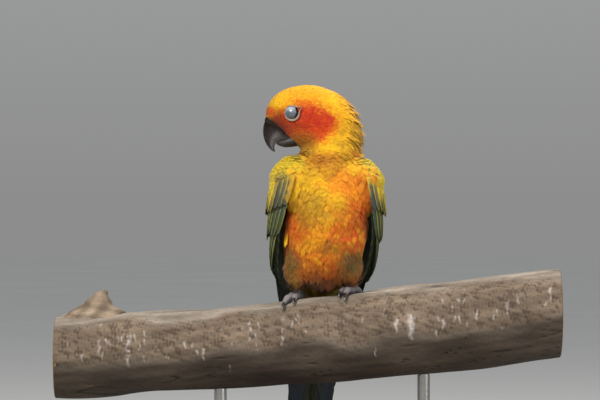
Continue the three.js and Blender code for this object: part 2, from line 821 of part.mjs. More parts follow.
// The flesh is joined whole, then parted by two thin cuts.
const flesh = joined(
  place(trunkSolid(), atBody), place(neckSolid(), atPerch), place(headSolid(), atPerch));
const neckCut = { normal: v3(-0.08, 0.05, 1), height: 87.5 };
const headCut = { normal: v3(-0.16, 0, 1), height: 95 };
const above = (solid, { normal, height }) =>
  keepBeyond(solid, normal, v3(0, PERCH_BACK, PERCH_TOP + height + GAP / 2));
const below = (solid, { normal, height }) =>
  keepBeyond(solid, normal.clone().negate(), v3(0, PERCH_BACK, PERCH_TOP + height - GAP / 2));

const sockets = [-1, 1].map((side) => place(eyeSolid(side, GAP), atPerch));
add("torso", less(below(flesh, neckCut), thighKeepOut, feetKeepOut,
  place(tailConeSolid(GAP), atBody)), "breast");
add("neck", below(above(flesh, neckCut), headCut), "head");
add("head", less(above(flesh, headCut), sockets), "head");

// The band of bare skin at the bill's root, grown by out all round.
function cereSolid(out = 0) {
  const band = upperBillSolid(CERE_PROUD + out).intersect(headSolid(CERE_DEEP + out));
  return keepBeyond(band, v3(-0.4, 0, 1), v3(CERE_FOOT.x, 0, CERE_FOOT.z - out));
}

const bill = place(upperBillSolid(), atPerch);
const nostrils = [-1, 1].map((side) =>
  place(sphere(NOSTRIL_RADIUS, v3(-33, HEAD_BACK + side * 5.2, 111.8), 8), atPerch));
add("cere", less(place(cereSolid(), atPerch), headKeepOut, nostrils), "cere");
const cereKeepOut = place(cereSolid(GAP), atPerch);
add("upper_bill", less(bill, headKeepOut, cereKeepOut, neckKeepOut), "bill");
add("lower_bill", less(place(lowerBillSolid(), atPerch), headKeepOut, neckKeepOut,
  place(upperBillSolid(GAP), atPerch)), "bill");

for (const [name, side] of [["left", -1], ["right", 1]]) {
  add(`${name}_eye`, place(eyeSolid(side), atPerch), "eye");
  add(`${name}_eyelids`, less(place(lidSolid(side), atPerch), headKeepOut), "lid");
}

for (const [name, side] of [["left", 1], ["right", -1]]) {
  add(`${name}_thigh`, less(place(thighSolid(side), atBody),
    place(tailConeSolid(GAP), atBody), feetKeepOut, perchKeepOut), "thigh");
  const wing = joined(wingSheet(side, ARM, 9, true), wingSheet(side, HAND, 6, false),
    TIERS.map((tier) => tierVanes(side, tier)));
  add(`${name}_wing`, less(place(wing, atBody), trunkKeepOut, neckKeepOut, tailKeepOut,
    thighKeepOut, perchKeepOut), "wing");
}

const tail = joined(tailConeSolid(), tailVanes(1), tailVanes(-1));
add("tail", less(place(tail, atBody), thighKeepOut, perchKeepOut), "tail");

for (const foot of FEET) {
  add(`${foot.name}_foot`, less(place(footSolid(foot), atPerch), perchKeepOut), "foot");
  for (const toe of foot.toes) {
    const claw = place(tube(clawPath(foot, toe), CLAW_RADII, 6), atPerch);
    add(`${foot.name}_claw_${toe.name}`, less(claw, feetKeepOut, perchKeepOut), "claw");
  }
}

add("perch", joined(perch, place(knobSolid(), atPerch)), "branch");
add("stand_base", baseSolid(), "stand");
add("stand_rod_left", rodSolid(1), "rod");
add("stand_rod_right", rodSolid(-1), "rod");

export default object;
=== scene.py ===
"""Looks of a still, life-size sun conure that grips a cut length of branch on a plain stand."""
import json
import math
from collections import namedtuple

import bpy
import numpy as np
from mathutils import Vector
from mathutils.bvhtree import BVHTree
from mathutils.kdtree import KDTree
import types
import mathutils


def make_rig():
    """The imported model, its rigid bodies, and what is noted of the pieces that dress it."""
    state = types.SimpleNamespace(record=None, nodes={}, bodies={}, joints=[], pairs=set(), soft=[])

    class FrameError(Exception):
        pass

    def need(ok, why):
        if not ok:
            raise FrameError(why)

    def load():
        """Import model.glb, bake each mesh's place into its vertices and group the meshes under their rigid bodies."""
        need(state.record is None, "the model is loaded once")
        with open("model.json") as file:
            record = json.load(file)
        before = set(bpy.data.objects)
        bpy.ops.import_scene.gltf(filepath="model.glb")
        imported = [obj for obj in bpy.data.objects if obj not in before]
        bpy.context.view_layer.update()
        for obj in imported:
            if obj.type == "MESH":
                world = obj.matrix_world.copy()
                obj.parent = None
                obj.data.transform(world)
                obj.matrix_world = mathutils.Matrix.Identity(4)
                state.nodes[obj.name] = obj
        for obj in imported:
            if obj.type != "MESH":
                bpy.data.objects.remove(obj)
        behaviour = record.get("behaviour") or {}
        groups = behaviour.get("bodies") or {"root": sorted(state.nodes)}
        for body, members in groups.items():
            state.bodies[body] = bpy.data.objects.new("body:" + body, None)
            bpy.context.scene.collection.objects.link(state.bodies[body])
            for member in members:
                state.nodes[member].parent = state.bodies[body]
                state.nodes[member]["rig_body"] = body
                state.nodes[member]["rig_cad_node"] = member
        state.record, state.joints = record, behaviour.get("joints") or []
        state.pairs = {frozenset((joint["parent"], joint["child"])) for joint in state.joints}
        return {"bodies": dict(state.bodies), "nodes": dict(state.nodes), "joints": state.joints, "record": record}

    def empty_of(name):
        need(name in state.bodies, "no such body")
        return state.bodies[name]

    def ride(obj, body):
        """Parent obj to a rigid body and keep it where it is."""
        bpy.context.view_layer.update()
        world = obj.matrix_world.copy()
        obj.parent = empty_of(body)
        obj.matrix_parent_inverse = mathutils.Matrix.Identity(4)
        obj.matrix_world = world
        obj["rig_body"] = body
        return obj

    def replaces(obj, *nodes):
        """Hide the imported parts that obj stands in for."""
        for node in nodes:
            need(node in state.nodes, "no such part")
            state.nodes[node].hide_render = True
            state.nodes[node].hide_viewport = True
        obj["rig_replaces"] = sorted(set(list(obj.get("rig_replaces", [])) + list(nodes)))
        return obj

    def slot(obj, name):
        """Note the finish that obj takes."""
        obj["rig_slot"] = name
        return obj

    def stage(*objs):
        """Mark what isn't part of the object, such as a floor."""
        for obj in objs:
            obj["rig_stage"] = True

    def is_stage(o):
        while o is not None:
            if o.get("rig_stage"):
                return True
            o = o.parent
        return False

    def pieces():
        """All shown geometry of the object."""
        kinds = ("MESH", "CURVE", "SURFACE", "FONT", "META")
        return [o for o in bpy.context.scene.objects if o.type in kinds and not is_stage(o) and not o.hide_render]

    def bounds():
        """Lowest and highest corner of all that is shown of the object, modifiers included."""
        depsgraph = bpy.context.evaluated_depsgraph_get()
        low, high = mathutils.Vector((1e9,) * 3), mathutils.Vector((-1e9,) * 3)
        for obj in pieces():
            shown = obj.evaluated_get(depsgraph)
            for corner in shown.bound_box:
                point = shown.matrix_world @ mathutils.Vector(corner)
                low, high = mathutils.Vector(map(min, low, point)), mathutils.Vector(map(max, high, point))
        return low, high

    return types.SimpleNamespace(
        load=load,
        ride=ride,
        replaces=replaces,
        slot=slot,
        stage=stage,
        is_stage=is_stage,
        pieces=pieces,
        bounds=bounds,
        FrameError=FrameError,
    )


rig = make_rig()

bl_info = {
    "name": "Sun Conure Model",
    "version": (1, 0, 0),
    "blender": (4, 5, 0),
    "location": "View3D > Sidebar > Conure",
    "description": "Builds the looks of a still, life-size sun conure on its perch and stand",
    "category": "Object",
}

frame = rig.load()
CAD_BOX = [list(corner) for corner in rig.bounds()]

# Sizes below are in millimetres, heights in the bird's tables are above the perch's top.
MM = 0.001
PERCH_PLACE = np.array([0.0, -12.0, 136.0])
BODY_YAW = math.radians(5)
BODY_LEAN = math.radians(2.2)
HEAD_BACK = 1.0

# The map's name, a small feather's patch on it, and the heights between which it shows the trunk.
MAP_NAME = "OFBake"
PATCH = 0.003
TRUNK_LOW = -70
TRUNK_HIGH = 100

# The CAD nodes that the coat covers.
FLESH = ["torso", "neck", "head", "left_thigh", "right_thigh"]


def linear(red, green, blue):
    """A colour in steps of 0 to 255, as the linear values that Blender works with."""
    return tuple(((step / 255 + 0.055) / 1.055) ** 2.4 for step in (red, green, blue))


# Helpers for numbers and places.

def smooth(x, low, high):
    """0 below low and 1 above high, with a soft rise between."""
    t = np.clip((np.asarray(x, float) - low) / (high - low), 0, 1)
    return t * t * (3 - 2 * t)


def mix(a, b, share):
    """From a to b by a share for each point."""
    return a + (np.asarray(b) - a) * np.asarray(share)[..., None]


def unit(vectors):
    """Vectors of length 1."""
    size = np.linalg.norm(vectors, axis=-1, keepdims=True)
    return vectors / np.maximum(size, 1e-9)


def dot(a, b):
    """The dot product of each pair of vectors."""
    return (a * b).sum(-1)


def across_normal(vectors, normals):
    """What is left of vectors along the surface with these normals."""
    return vectors - normals * dot(vectors, normals)[..., None]


def along_rows(table, x):
    """The values of a smooth function at x, each on its own."""
    return np.moveaxis(table(x), -1, 0)


def through(rows):
    """A smooth function through rows of [at, value, value, ...]."""
    rows = np.array(rows, float)
    at, values = rows[:, 0], rows[:, 1:]
    last = len(at) - 1
    ahead = np.minimum(np.arange(last + 1) + 1, last)
    behind = np.maximum(np.arange(last + 1) - 1, 0)
    slopes = (values[ahead] - values[behind]) / (at[ahead] - at[behind])[:, None]

    def value(x):
        x = np.clip(np.asarray(x, float), at[0], at[-1])
        i = np.clip(np.searchsorted(at, x, side="right") - 1, 0, last - 1)
        span = (at[i + 1] - at[i])[..., None]
        t = (x - at[i])[..., None] / span
        rise = 3 * t * t - 2 * t ** 3
        leave = t * (1 - t) ** 2 * span * slopes[i]
        arrive = t * t * (t - 1) * span * slopes[i + 1]
        return values[i] * (1 - rise) + values[i + 1] * rise + leave + arrive

    return value


def mottle(points, size, seed):
    """A soft random pattern from -1 to 1, in patches of about that size."""
    rng = np.random.default_rng(seed)
    total = 0
    for _ in range(7):
        wave = unit(rng.normal(size=3)) * 2 * math.pi / (size * rng.uniform(1.3, 2.8))
        total = total + np.sin(points @ wave + rng.uniform(0, 6.3))
    return np.tanh(total / 2)


def round_turns(count):
    """That many even steps once round, in radians."""
    return np.linspace(0, 2 * math.pi, count, endpoint=False)


def same_shade(shades):
    """Colours with one shade for red, green and blue alike."""
    return np.repeat(np.reshape(shades, (-1, 1)), 3, axis=1)


def turned(yaw, lean):
    """A turn by lean about Y and then by yaw about Z."""
    cy, sy, cl, sl = math.cos(yaw), math.sin(yaw), math.cos(lean), math.sin(lean)
    about_z = np.array([[cy, -sy, 0], [sy, cy, 0], [0, 0, 1]])
    about_y = np.array([[cl, 0, sl], [0, 1, 0], [-sl, 0, cl]])
    return about_z @ about_y


BODY_TURN = turned(BODY_YAW, BODY_LEAN)


def at_perch(points):
    """From the perch's frame to the world."""
    return points + PERCH_PLACE


def at_body(points):
    """From the body's own frame to the world."""
    return points @ BODY_TURN.T + PERCH_PLACE


def in_body(points):
    """From the world to the body's own frame."""
    return (points - PERCH_PLACE) @ BODY_TURN


# Shapes and pieces.

class Shape:
    """Points in millimetres with faces. A point may have a colour, a place on its feather
    (across, along and a random share) and a place on the map."""

    def __init__(self, points, quads=(), tris=(), colour=None, vane=None, place=None):
        self.points = np.asarray(points, float).reshape(-1, 3)
        self.quads = np.asarray(quads, int).reshape(-1, 4)
        self.tris = np.asarray(tris, int).reshape(-1, 3)
        count = len(self.points)
        self.colour = np.zeros((count, 3)) if colour is None else np.broadcast_to(colour, (count, 3))
        self.vane = np.zeros((count, 3)) if vane is None else vane.reshape(-1, 3)
        self.place = place if place is None else place.reshape(-1, 2)


def merged(shapes):
    """One shape from several."""
    starts = np.cumsum([0] + [len(shape.points) for shape in shapes])
    whole = Shape(
        np.concatenate([s.points for s in shapes]),
        np.concatenate([s.quads + start for s, start in zip(shapes, starts)]),
        np.concatenate([s.tris + start for s, start in zip(shapes, starts)]),
        np.concatenate([s.colour for s in shapes]),
        np.concatenate([s.vane for s in shapes]))
    if shapes[0].place is not None:
        whole.place = np.concatenate([s.place for s in shapes])
    return whole


def loft(rings, closed=True):
    """Faces round and along rings of points, with both ends closed by strips."""
    rings = np.asarray(rings, float)
    levels, count = rings.shape[:2]
    index = np.arange(levels * count).reshape(levels, count)
    side = np.roll(index, -1, axis=1)
    quads = np.stack([index[:-1], side[:-1], side[1:], index[1:]], -1).reshape(-1, 4)
    if closed:
        i = np.arange(count // 2 - 1)
        j = count - 1 - i
        first = np.stack([i, j, j - 1, i + 1], -1)
        final = (levels - 1) * count + first[:, ::-1]
        quads = np.concatenate([quads, first, final])
    return Shape(rings.reshape(-1, 3), quads)


def there_and_back(first, second):
    """Rings that run along the rows of one grid and back along those of another."""
    return np.concatenate([first, second[:, ::-1]], axis=1)


def tube(path, radius_at, sides):
    """A closed tube along a path. radius_at takes shares along and turns round it."""
    along = unit(np.gradient(path, axis=0))
    level = np.array([1.0, 0, 0]) if abs(along[:, 0]).mean() < 0.8 else np.array([0, 1.0, 0])
    u = unit(np.cross(level, along))
    w = np.cross(along, u)
    share = np.linspace(0, 1, len(path))[:, None]
    turn = round_turns(sides)[None]
    radius = radius_at(share, turn)[..., None]
    ring = u[:, None] * np.cos(turn)[..., None] + w[:, None] * np.sin(turn)[..., None]
    return loft(path[:, None] + ring * radius)


def make_piece(name, shape, material, slot, nodes=()):
    """A Blender object from a shape, which rides on the part and may replace CAD nodes."""
    mesh = bpy.data.meshes.new(name)
    mesh.vertices.add(len(shape.points))
    mesh.vertices.foreach_set("co", (shape.points * MM).ravel())
    corners = np.concatenate([shape.quads.ravel(), shape.tris.ravel()])
    starts = np.concatenate([
        np.arange(len(shape.quads)) * 4,
        len(shape.quads) * 4 + np.arange(len(shape.tris)) * 3])
    mesh.loops.add(len(corners))
    mesh.loops.foreach_set("vertex_index", corners)
    mesh.polygons.add(len(starts))
    mesh.polygons.foreach_set("loop_start", starts)
    mesh.polygons.foreach_set("use_smooth", np.ones(len(starts), bool))
    colour = mesh.color_attributes.new("Marking", "FLOAT_COLOR", "POINT")
    colour.data.foreach_set("color", np.c_[shape.colour, np.ones(len(shape.points))].ravel())
    vane = mesh.attributes.new("Vane", "FLOAT_VECTOR", "POINT")
    vane.data.foreach_set("vector", shape.vane.ravel())
    if shape.place is not None:
        places = mesh.uv_layers.new(name=MAP_NAME)
        places.uv.foreach_set("vector", shape.place[corners].ravel())
    mesh.update(calc_edges=True)
    mesh.validate()
    mesh.materials.append(material)
    piece = bpy.data.objects.new(name, mesh)
    bpy.context.scene.collection.objects.link(piece)
    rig.ride(piece, "root")
    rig.slot(piece, slot)
    if nodes:
        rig.replaces(piece, *nodes)
    return piece


class Surface:
    """A surface of triangles to spread roots over and to lay feathers on."""

    def __init__(self, points, tris):
        self.points = points
        self.tris = tris
        a, b, c = (points[tris[:, k]] for k in range(3))
        faces = np.cross(b - a, c - a)
        self.areas = np.linalg.norm(faces, axis=1) / 2
        normals = np.zeros_like(points)
        for k in range(3):
            np.add.at(normals, tris[:, k], faces)
        self.normals = unit(normals)
        self.tree = BVHTree.FromPolygons(points.tolist(), tris.tolist())

    def land(self, places):
        """The nearest points of the surface and its smooth normals there."""
        hits = [self.tree.find_nearest(place) for place in places.tolist()]
        spots = np.array([hit[0] for hit in hits])
        tris = self.tris[[hit[2] for hit in hits]]
        a, b, c = (self.points[tris[:, k]] for k in range(3))
        whole = np.cross(b - a, c - a)
        size = np.maximum(dot(whole, whole), 1e-12)
        share_b = np.clip(dot(np.cross(spots - a, c - a), whole) / size, 0, 1)
        share_c = np.clip(dot(np.cross(b - a, spots - a), whole) / size, 0, 1)
        shares = np.stack([1 - share_b - share_c, share_b, share_c], -1)
        return spots, unit((self.normals[tris] * shares[..., None]).sum(1))

    def scatter(self, rng, spacing, allowed):
        """Roots spread evenly, each its own spacing from the others."""
        middles = self.points[self.tris].mean(1)
        weight = self.areas * allowed(middles) / spacing(middles) ** 2
        count = int(weight.sum() * 6)
        picks = rng.choice(len(weight), count, p=weight / weight.sum())
        far, side = np.sqrt(rng.random(count)), rng.random(count)
        shares = np.stack([1 - far, far * (1 - side), far * side], -1)
        spots = (self.points[self.tris[picks]] * shares[..., None]).sum(1)
        gaps = spacing(spots)
        tree = KDTree(count)
        for i, spot in enumerate(spots.tolist()):
            tree.insert(spot, i)
        tree.balance()
        taken = np.zeros(count, bool)
        chosen = []
        for i in range(count):
            if taken[i]:
                continue
            chosen.append(i)
            for _, near, _ in tree.find_range(spots[i], gaps[i]):
                taken[near] = True
        spots = spots[chosen]
        return spots[allowed(spots) > 0.5]


def mesh_arrays(mesh):
    """A mesh's points in millimetres and its triangles."""
    mesh.calc_loop_triangles()
    place = np.zeros(len(mesh.vertices) * 3)
    mesh.vertices.foreach_get("co", place)
    corner = np.zeros(len(mesh.loop_triangles) * 3, int)
    mesh.loop_triangles.foreach_get("vertices", corner)
    return place.reshape(-1, 3) / MM, corner.reshape(-1, 3)


def node_surface(*names):
    """The surface of some CAD nodes, in millimetres."""
    meshes = [mesh_arrays(frame["nodes"][name].data) for name in names]
    whole = merged([Shape(points, tris=tris) for points, tris in meshes])
    return Surface(whole.points, whole.tris)


# Form of the bird, in the perch's or the body's frame.

# Sections of the upper bill: [step, culmen x, culmen z, edge x, edge z, half width].
UPPER_BILL = through([
    [0, -29, 117.2, -13.5, 103.5, 7.6],
    [1, -33, 115.8, -17.5, 102.3, 7.5],
    [2, -35.5, 112.4, -20.8, 101.2, 7.2],
    [3, -36.9, 108.2, -23.6, 100.2, 6.5],
    [4, -37.1, 103.6, -26.2, 99.4, 5.5],
    [5, -36.2, 99.4, -28.4, 98.2, 4.1],
    [6, -34.4, 95.8, -29.8, 96.2, 2.7],
    [7, -32, 93.2, -30, 94, 1.4],
    [8, -30.2, 91.9, -29.4, 92.3, 0.35],
])

# The lower bill: [x, top, bottom, half width].
LOWER_BILL = through([
    [-28.8, 98.2, 96.9, 1.6],
    [-27, 99.4, 95.9, 3.6],
    [-24, 100.4, 95, 5.1],
    [-20, 101, 95, 6],
    [-16, 101, 95.6, 6],
    [-12.5, 101, 96.4, 5.4],
])

BILL_SIDES = 56

# How far the cere reaches round from the bill's top, in degrees.
CERE_TURN = 112

EYE_X = -18.8
EYE_Z = 116.1
EYE_SIDE = 14.85
EYE_RADIUS = 4.5
EYE_SINK = 3.0
LID_RING = 4.3
CHEEK_TURN = math.radians(14)
EYE_UP = np.array([0, 0, 1.0])
EYE_SIDES = 56
RING_STEPS = 150
RING_SIDES = 18

# Where the third lid starts at the front, and its painted light and shade from the bottom up, dark below with a
# painted highlight near the top: [height, tint].
LID_FRONT = -1.4
LID_LIGHT_AND_SHADE = through([
    [-1, 0.12, 0.13, 0.10], [-0.5, 0.16, 0.18, 0.15], [0, 0.28, 0.31, 0.35],
    [0.35, 0.5, 0.54, 0.58], [0.65, 1.0, 1.02, 1.04], [1, 0.7, 0.7, 0.7],
])

# The ellipse that the folded wings lie round: [height, middle, half width, half depth].
WING_LINE = through([
    [-52, 51, 10.5, 6.5],
    [-40, 44.2, 14, 8.5],
    [-25, 35, 18.8, 12],
    [-10, 25, 22.8, 16],
    [0, 18, 25.2, 19],
    [11, 11, 27.6, 22.4],
    [22, 5.5, 29.7, 25.2],
    [33, 0.8, 30.8, 27.4],
    [46, -2.2, 30.9, 28.6],
    [60, -3.6, 29.8, 28.8],
    [70, -3.4, 28, 27.8],
    [80, -2, 25.2, 25.6],
    [92, -0.2, 20.4, 21.5],
])

# The wing's arm under the small coverts, and its hand under the flight feathers' roots:
# [height, front turn, back turn, inner layer, outer layer].
ARM = through([
    [56, -40, 64, 0, 1.8],
    [60, -45, 68, 0, 4.6],
    [65, -49, 70, 0, 7.1],
    [72, -52, 69, 0, 7.2],
    [75, -52, 64, 0, 9.2],
    [79.5, -50, 58, 0, 8.4],
    [84.5, -45, 50, 0.2, 6.9],
    [88.5, -33, 38, 0.3, 4.4],
    [91.5, -12, 20, 0.4, 1.6],
])
HAND = through([
    [5, 16, 56, -1.8, 2.1],
    [15, 3, 62, -1.9, 2.1],
    [28, -9, 63, -1.8, 2.1],
    [45, -22, 63, -0.3, 2.1],
    [61, -33, 61, 0.1, 2.1],
])
HAND_LOW = 5
HAND_TOP = 61
ARM_LOW = 56
ARM_TOP = 91.5

# The arm that shows ends lower, and lies this far under the surface of the shoulders.
CORE_TOP = 88.8
CORE_UNDER = 0.8

TAIL_ROOT = np.array([0.0, 21.0, 11.0])
TAIL_SLOPE = math.radians(24)
TAIL_ALONG = np.array([0.0, math.sin(TAIL_SLOPE), -math.cos(TAIL_SLOPE)])
TAIL_UP = np.array([0.0, math.cos(TAIL_SLOPE), math.sin(TAIL_SLOPE)])
TAIL_LENGTH = 138
TAIL_WEB = 13
TAIL_FEATHERS = 6

# How far out the middle pair lies, and how far each feather lies under the one before it.
TAIL_MIDDLE_OUT = 3.3
TAIL_STEP = 0.83

# The root of the tail with its coverts: [distance, half width, under side, upper side].
TAIL_CONE = through([
    [-10, 15, 9, 8],
    [0, 15.5, 8.4, 8],
    [12, 14.6, 5.8, 6.6],
    [24, 13.4, 4.2, 5],
    [36, 12.2, 3.2, 3.6],
    [48, 10.8, 2.2, 2.6],
    [57, 7, 1.5, 1.9],
])

# Each foot: where its shank stands along the branch, and each toe's end there and its reach
# and its claw's reach round the branch, in degrees from the top to the front.
FEET = {
    "right": (-15.5, {
        "outer_front": (-24.2, 25, 42),
        "inner_front": (-17.6, 18, 31),
        "outer_rear": (-22, -34, -52),
        "inner_rear": (-10.5, -27, -43),
    }),
    "left": (18.5, {
        "outer_front": (14.6, 21, 38),
        "inner_front": (11, 15, 28),
        "outer_rear": (25, -34, -52),
        "inner_rear": (13.5, -27, -43),
    }),
}
TOE_RADII = [2.5, 2.2, 2.35, 2, 2.15, 1.7, 1.3]
CLAW_RADII = [1.25, 1.2, 1, 0.7, 0.3]
SHANK = 12
SCUTES = 13
TOE_SIDES = 30

PERCH_LEFT = -168
PERCH_RIGHT = 150
PERCH_LINE = through([
    [-203, -38.7, 25.5], [-140, -36.2, 26], [-77, -32.4, 25.5], [-14, -27.4, 26.9],
    [49, -21.8, 28.3], [112, -14, 28.8], [175, -7.2, 26.8],
])
KNOB_AT = -143
KNOB_HEIGHT = 15

# The stub: [height, half length, half width, shift along the branch].
KNOB_LINE = through([
    [-14, 21, 13, -1], [-4, 20.5, 12, -1], [0, 20, 11, -1], [2.5, 16, 9.8, -0.6],
    [4.5, 12.5, 8.5, 0], [8, 8.6, 7, 1.2], [10, 7, 6, 2], [13, 5, 4.8, 3],
    [KNOB_HEIGHT - 0.3, 3.8, 3.8, 3.5],
])

# The floor's rings and gap under the part, and the camera's sensor.
FLOOR_RADII = (0.5, 1500.0, 9000.0)
FLOOR_SIDES = 96
FLOOR_GAP = 0.05
SENSOR = 36


def perch_point(x, turn, out=0.0):
    """The branch's surface, by the place along it and the turn from its top to the front."""
    middle, radius = along_rows(PERCH_LINE, x)
    r = radius + 0.55 * np.sin(3 * turn + 0.045 * x) + 0.4 * np.sin(5 * turn - 0.083 * x) + out
    return np.stack([x + 0 * turn, -np.sin(turn) * r, middle + np.cos(turn) * r], -1)


def wing_point(side, z, turn, layer):
    """A point by the wing's ellipse at a height, with the turn in degrees from the side."""
    middle, width, depth = along_rows(WING_LINE, z)
    turn = np.radians(turn)
    return np.stack([
        side * np.cos(turn) * (width + layer),
        middle + np.sin(turn) * (depth + layer),
        z + 0 * turn], -1)


def tail_point(along, across, up):
    """A point by the tail's own axes, in the body's frame."""
    along, across, up = np.broadcast_arrays(*(np.asarray(v, float) for v in (along, across, up)))
    sideways = np.array([1.0, 0, 0])
    return (TAIL_ROOT + along[..., None] * TAIL_ALONG + up[..., None] * TAIL_UP
            + across[..., None] * sideways)


def tail_cone():
    """The fleshy root of the tail, in the body's frame."""
    along = np.linspace(-10, 57, 30)[:, None]
    turn = round_turns(40)[None]
    width, under, over = along_rows(TAIL_CONE, along)
    high = np.where(np.sin(turn) > 0, over, under)
    return loft(tail_point(along, np.cos(turn) * width, np.sin(turn) * high))


# Markings.

# How much darker the head's feathers are at their bases: partly their own colour, partly painted shade in the gaps
# between them.
HEAD_BASE_SHADE = np.array([0.62, 0.5, 0.5])


def patch(x, z, middle, radii, soft=0.5, tilt=0.0):
    """1 inside an ellipse on the side view and 0 outside it, with a soft edge."""
    c, s = math.cos(math.radians(tilt)), math.sin(math.radians(tilt))
    dx, dz = x - middle[0], z - middle[1]
    away = np.hypot((dx * c + dz * s) / radii[0], (dz * c - dx * s) / radii[1])
    return 1 - smooth(away, 1 - soft, 1 + soft)


def head_share(points):
    """1 on the head and 0 on the trunk, in the perch's frame."""
    return smooth(points[:, 2] - 0.16 * points[:, 0], 86, 97)


def bill_distance(points):
    """How far points are from the root of the bill, in the perch's frame."""
    return np.linalg.norm(points - np.array([-27.0, HEAD_BACK, 109.0]), axis=1)


def tail_distance(points):
    """How far down the tail points are, in the perch's frame; below 0 on the trunk."""
    behind = points @ BODY_TURN - TAIL_ROOT
    return dot(behind, TAIL_ALONG) - 40 * (1 - smooth(dot(behind, TAIL_UP), -22, -12))


def washed(colours, palette, *washes):
    """Colours with others of the palette laid over them in turn. Each wash is a name, a share
    for each point and, where it is darker than in the palette, by how much."""
    for name, share, *darker in washes:
        colours = mix(colours, palette[name] * (darker[0] if darker else 1), share)
    return colours


class Ground:
    """Points of the coat in the perch's frame, with the uneven patterns of the markings."""

    def __init__(self, points):
        self.x, self.y, self.z = points.T
        self.small = mottle(points, 5, 11)
        self.broad = mottle(points, 13, 12)
        self.fine = mottle(points, 2.4, 13)
        ragged = 1.6 * self.small + 1.1 * self.fine
        self.ragged_x = self.x + ragged
        self.ragged_z = self.z + 0.8 * ragged[::-1]

    def plain(self, middle, radii, soft=0.5, tilt=0.0):
        """1 inside a smooth patch."""
        return patch(self.x, self.z, middle, radii, soft, tilt)

    def level(self, middle, radii, soft=0.5, tilt=0.0):
        """1 inside a patch with ragged sides."""
        return patch(self.ragged_x, self.z, middle, radii, soft, tilt)

    def ragged(self, middle, radii, soft=0.5, tilt=0.0):
        """1 inside a patch that is ragged all round."""
        return patch(self.ragged_x, self.ragged_z, middle, radii, soft, tilt)


def front_colours(ground, palette):
    """The trunk's front: gold above, mottled orange and red below, dark between the legs."""
    x, y, z = ground.x, ground.y, ground.z
    small, broad, fine = ground.small, ground.broad, ground.fine
    front = 1 - smooth(y, -8, 4)
    belly = 1 - smooth(z + 5 * broad, 42, 64)
    flank = smooth(np.abs(x - 1 + 0.12 * (z - 40)), 12, 22) * ground.plain((0, 42), (60, 28), 0.4)
    orange = np.clip(0.7 * belly * (1 + 0.5 * broad) + 0.9 * flank, 0, 1) * front
    amber = smooth(broad + 0.6 * small, 0.3, 1.0) * (1 - belly) * front
    dull = smooth(-broad + 0.5 * fine, 0.1, 0.9) * smooth(z, 40, 56) * front
    shoulder = ground.level((26, 74), (7, 22)) + ground.level((25, 89), (5, 5))
    collar = ground.level((12, 74), (9, 8), 0.7) + ground.level((1, 87), (9, 5), 0.6)
    red = np.clip(ground.ragged((17, 44), (11, 17)) + ground.ragged((-19, 40), (8, 22))
                  + ground.ragged((-2, 18), (17, 13))
                  + 0.5 * smooth(small, 0.1, 0.8) * belly, 0, 1) * front
    olive = np.clip(ground.ragged((-6, 56), (9, 13), 0.6)
                    + 0.9 * ground.ragged((4, 34), (6, 6), 0.6) - 0.25 * fine, 0, 1) * front
    flecks = smooth(fine + 0.5 * small, 0.35, 1.0) * belly * front
    # The lowest belly and the place between the legs are darkened: partly their own colour, mostly painted shade under
    # the belly.
    vent = (1 - smooth(z - 0.10 * np.abs(x) + 2 * small, 8, 27)) * (1 - smooth(y, 6, 22))
    legs = ground.plain((-4, 4), (13, 8), 0.6) * (1 - smooth(y, 6, 18))
    thigh = patch(np.abs(x + 3), z, (18.5, 17), (7.5, 17), 0.45) * (1 - smooth(y, 0, 10))
    green = ground.ragged((19, 23), (7, 8), 0.6) + 0.6 * ground.ragged((-19, 24), (5, 8), 0.6)
    tip = washed(
        palette["breast"], palette,
        ("breast_orange", orange * (0.75 + 0.25 * small)),
        ("breast_orange", 0.22 * amber),
        ("belly_olive", 0.3 * dull),
        ("breast_red", np.clip(shoulder, 0, 1) * 0.62 * front),
        ("breast_orange", np.clip(collar, 0, 1) * 0.6 * front),
        ("breast_red", (0.55 + 0.15 * fine) * red),
        ("belly_olive", 0.62 * olive),
        ("breast", 0.5 * flecks * (1 - smooth(-z, -22, -12))),
        ("vent", 0.85 * vent),
        ("legs_dark", 0.85 * legs),
        ("thigh", 0.8 * thigh * (0.4 + 0.6 * smooth(-x, -8, 8))),
        ("thigh_green", 0.8 * np.clip(green, 0, 1) * front))
    deep = washed(
        palette["breast_deep"], palette,
        ("breast_red", orange),
        ("breast_red", 0.6 * red, 0.7),
        ("belly_olive", 0.6 * olive, 0.8),
        ("vent", vent),
        ("legs_dark", 0.85 * legs))
    return deep, tip


def head_colours(ground, palette):
    """The head: gold, an orange-red mask round the eye to the ear, an olive shaded nape."""
    x, z, small, fine = ground.x, ground.z, ground.small, ground.fine
    top = ground.level((-8, 127.5), (13, 4.5), 0.7, -4)
    streaks = smooth(fine, 0, 0.8) * smooth(x, 8, 20)
    shade = smooth(ground.ragged_x - 0.5 * (z - 104), 4, 24) * (1 - smooth(z, 104, 122))
    lores = ground.plain((-26.5, 112), (5, 6), 0.6) + 0.8 * ground.plain((-18, 107), (8, 3.6), 0.6)
    return washed(
        palette["crown"], palette,
        ("crown_orange", 0.6 * np.clip(top, 0, 1)),
        ("nape", smooth(ground.ragged_x, 5, 14)),
        ("nape_olive", 0.3 * streaks),
        ("nape_olive", 0.7 * shade * (0.6 + 0.4 * small)),
        ("mask", 0.95 * ground.ragged((-12.5, 109.6), (21.5, 11.6), 0.28, -2)),
        ("mask_deep", (0.8 - 0.2 * fine) * ground.ragged((-4.5, 112.5), (13, 9), 0.6, -8)),
        ("mask", 0.6 * ground.ragged((-12, 122.4), (10, 2.2), 0.7, -4)),
        ("mask_deep", 0.6 * np.clip(lores, 0, 1), 0.45),
        ("mask", 0.7 * ground.ragged((-8, 101), (12, 5), 0.6)),
        # Under the bill the face is darkened towards orange-olive: partly its own colour, partly painted shade under
        # the head.
        ("chin", 0.8 * ground.ragged((-13, 96), (9, 8))),
        ("mask", 0.85 * ground.plain((-34, 117.5), (4.5, 3), 0.6)))


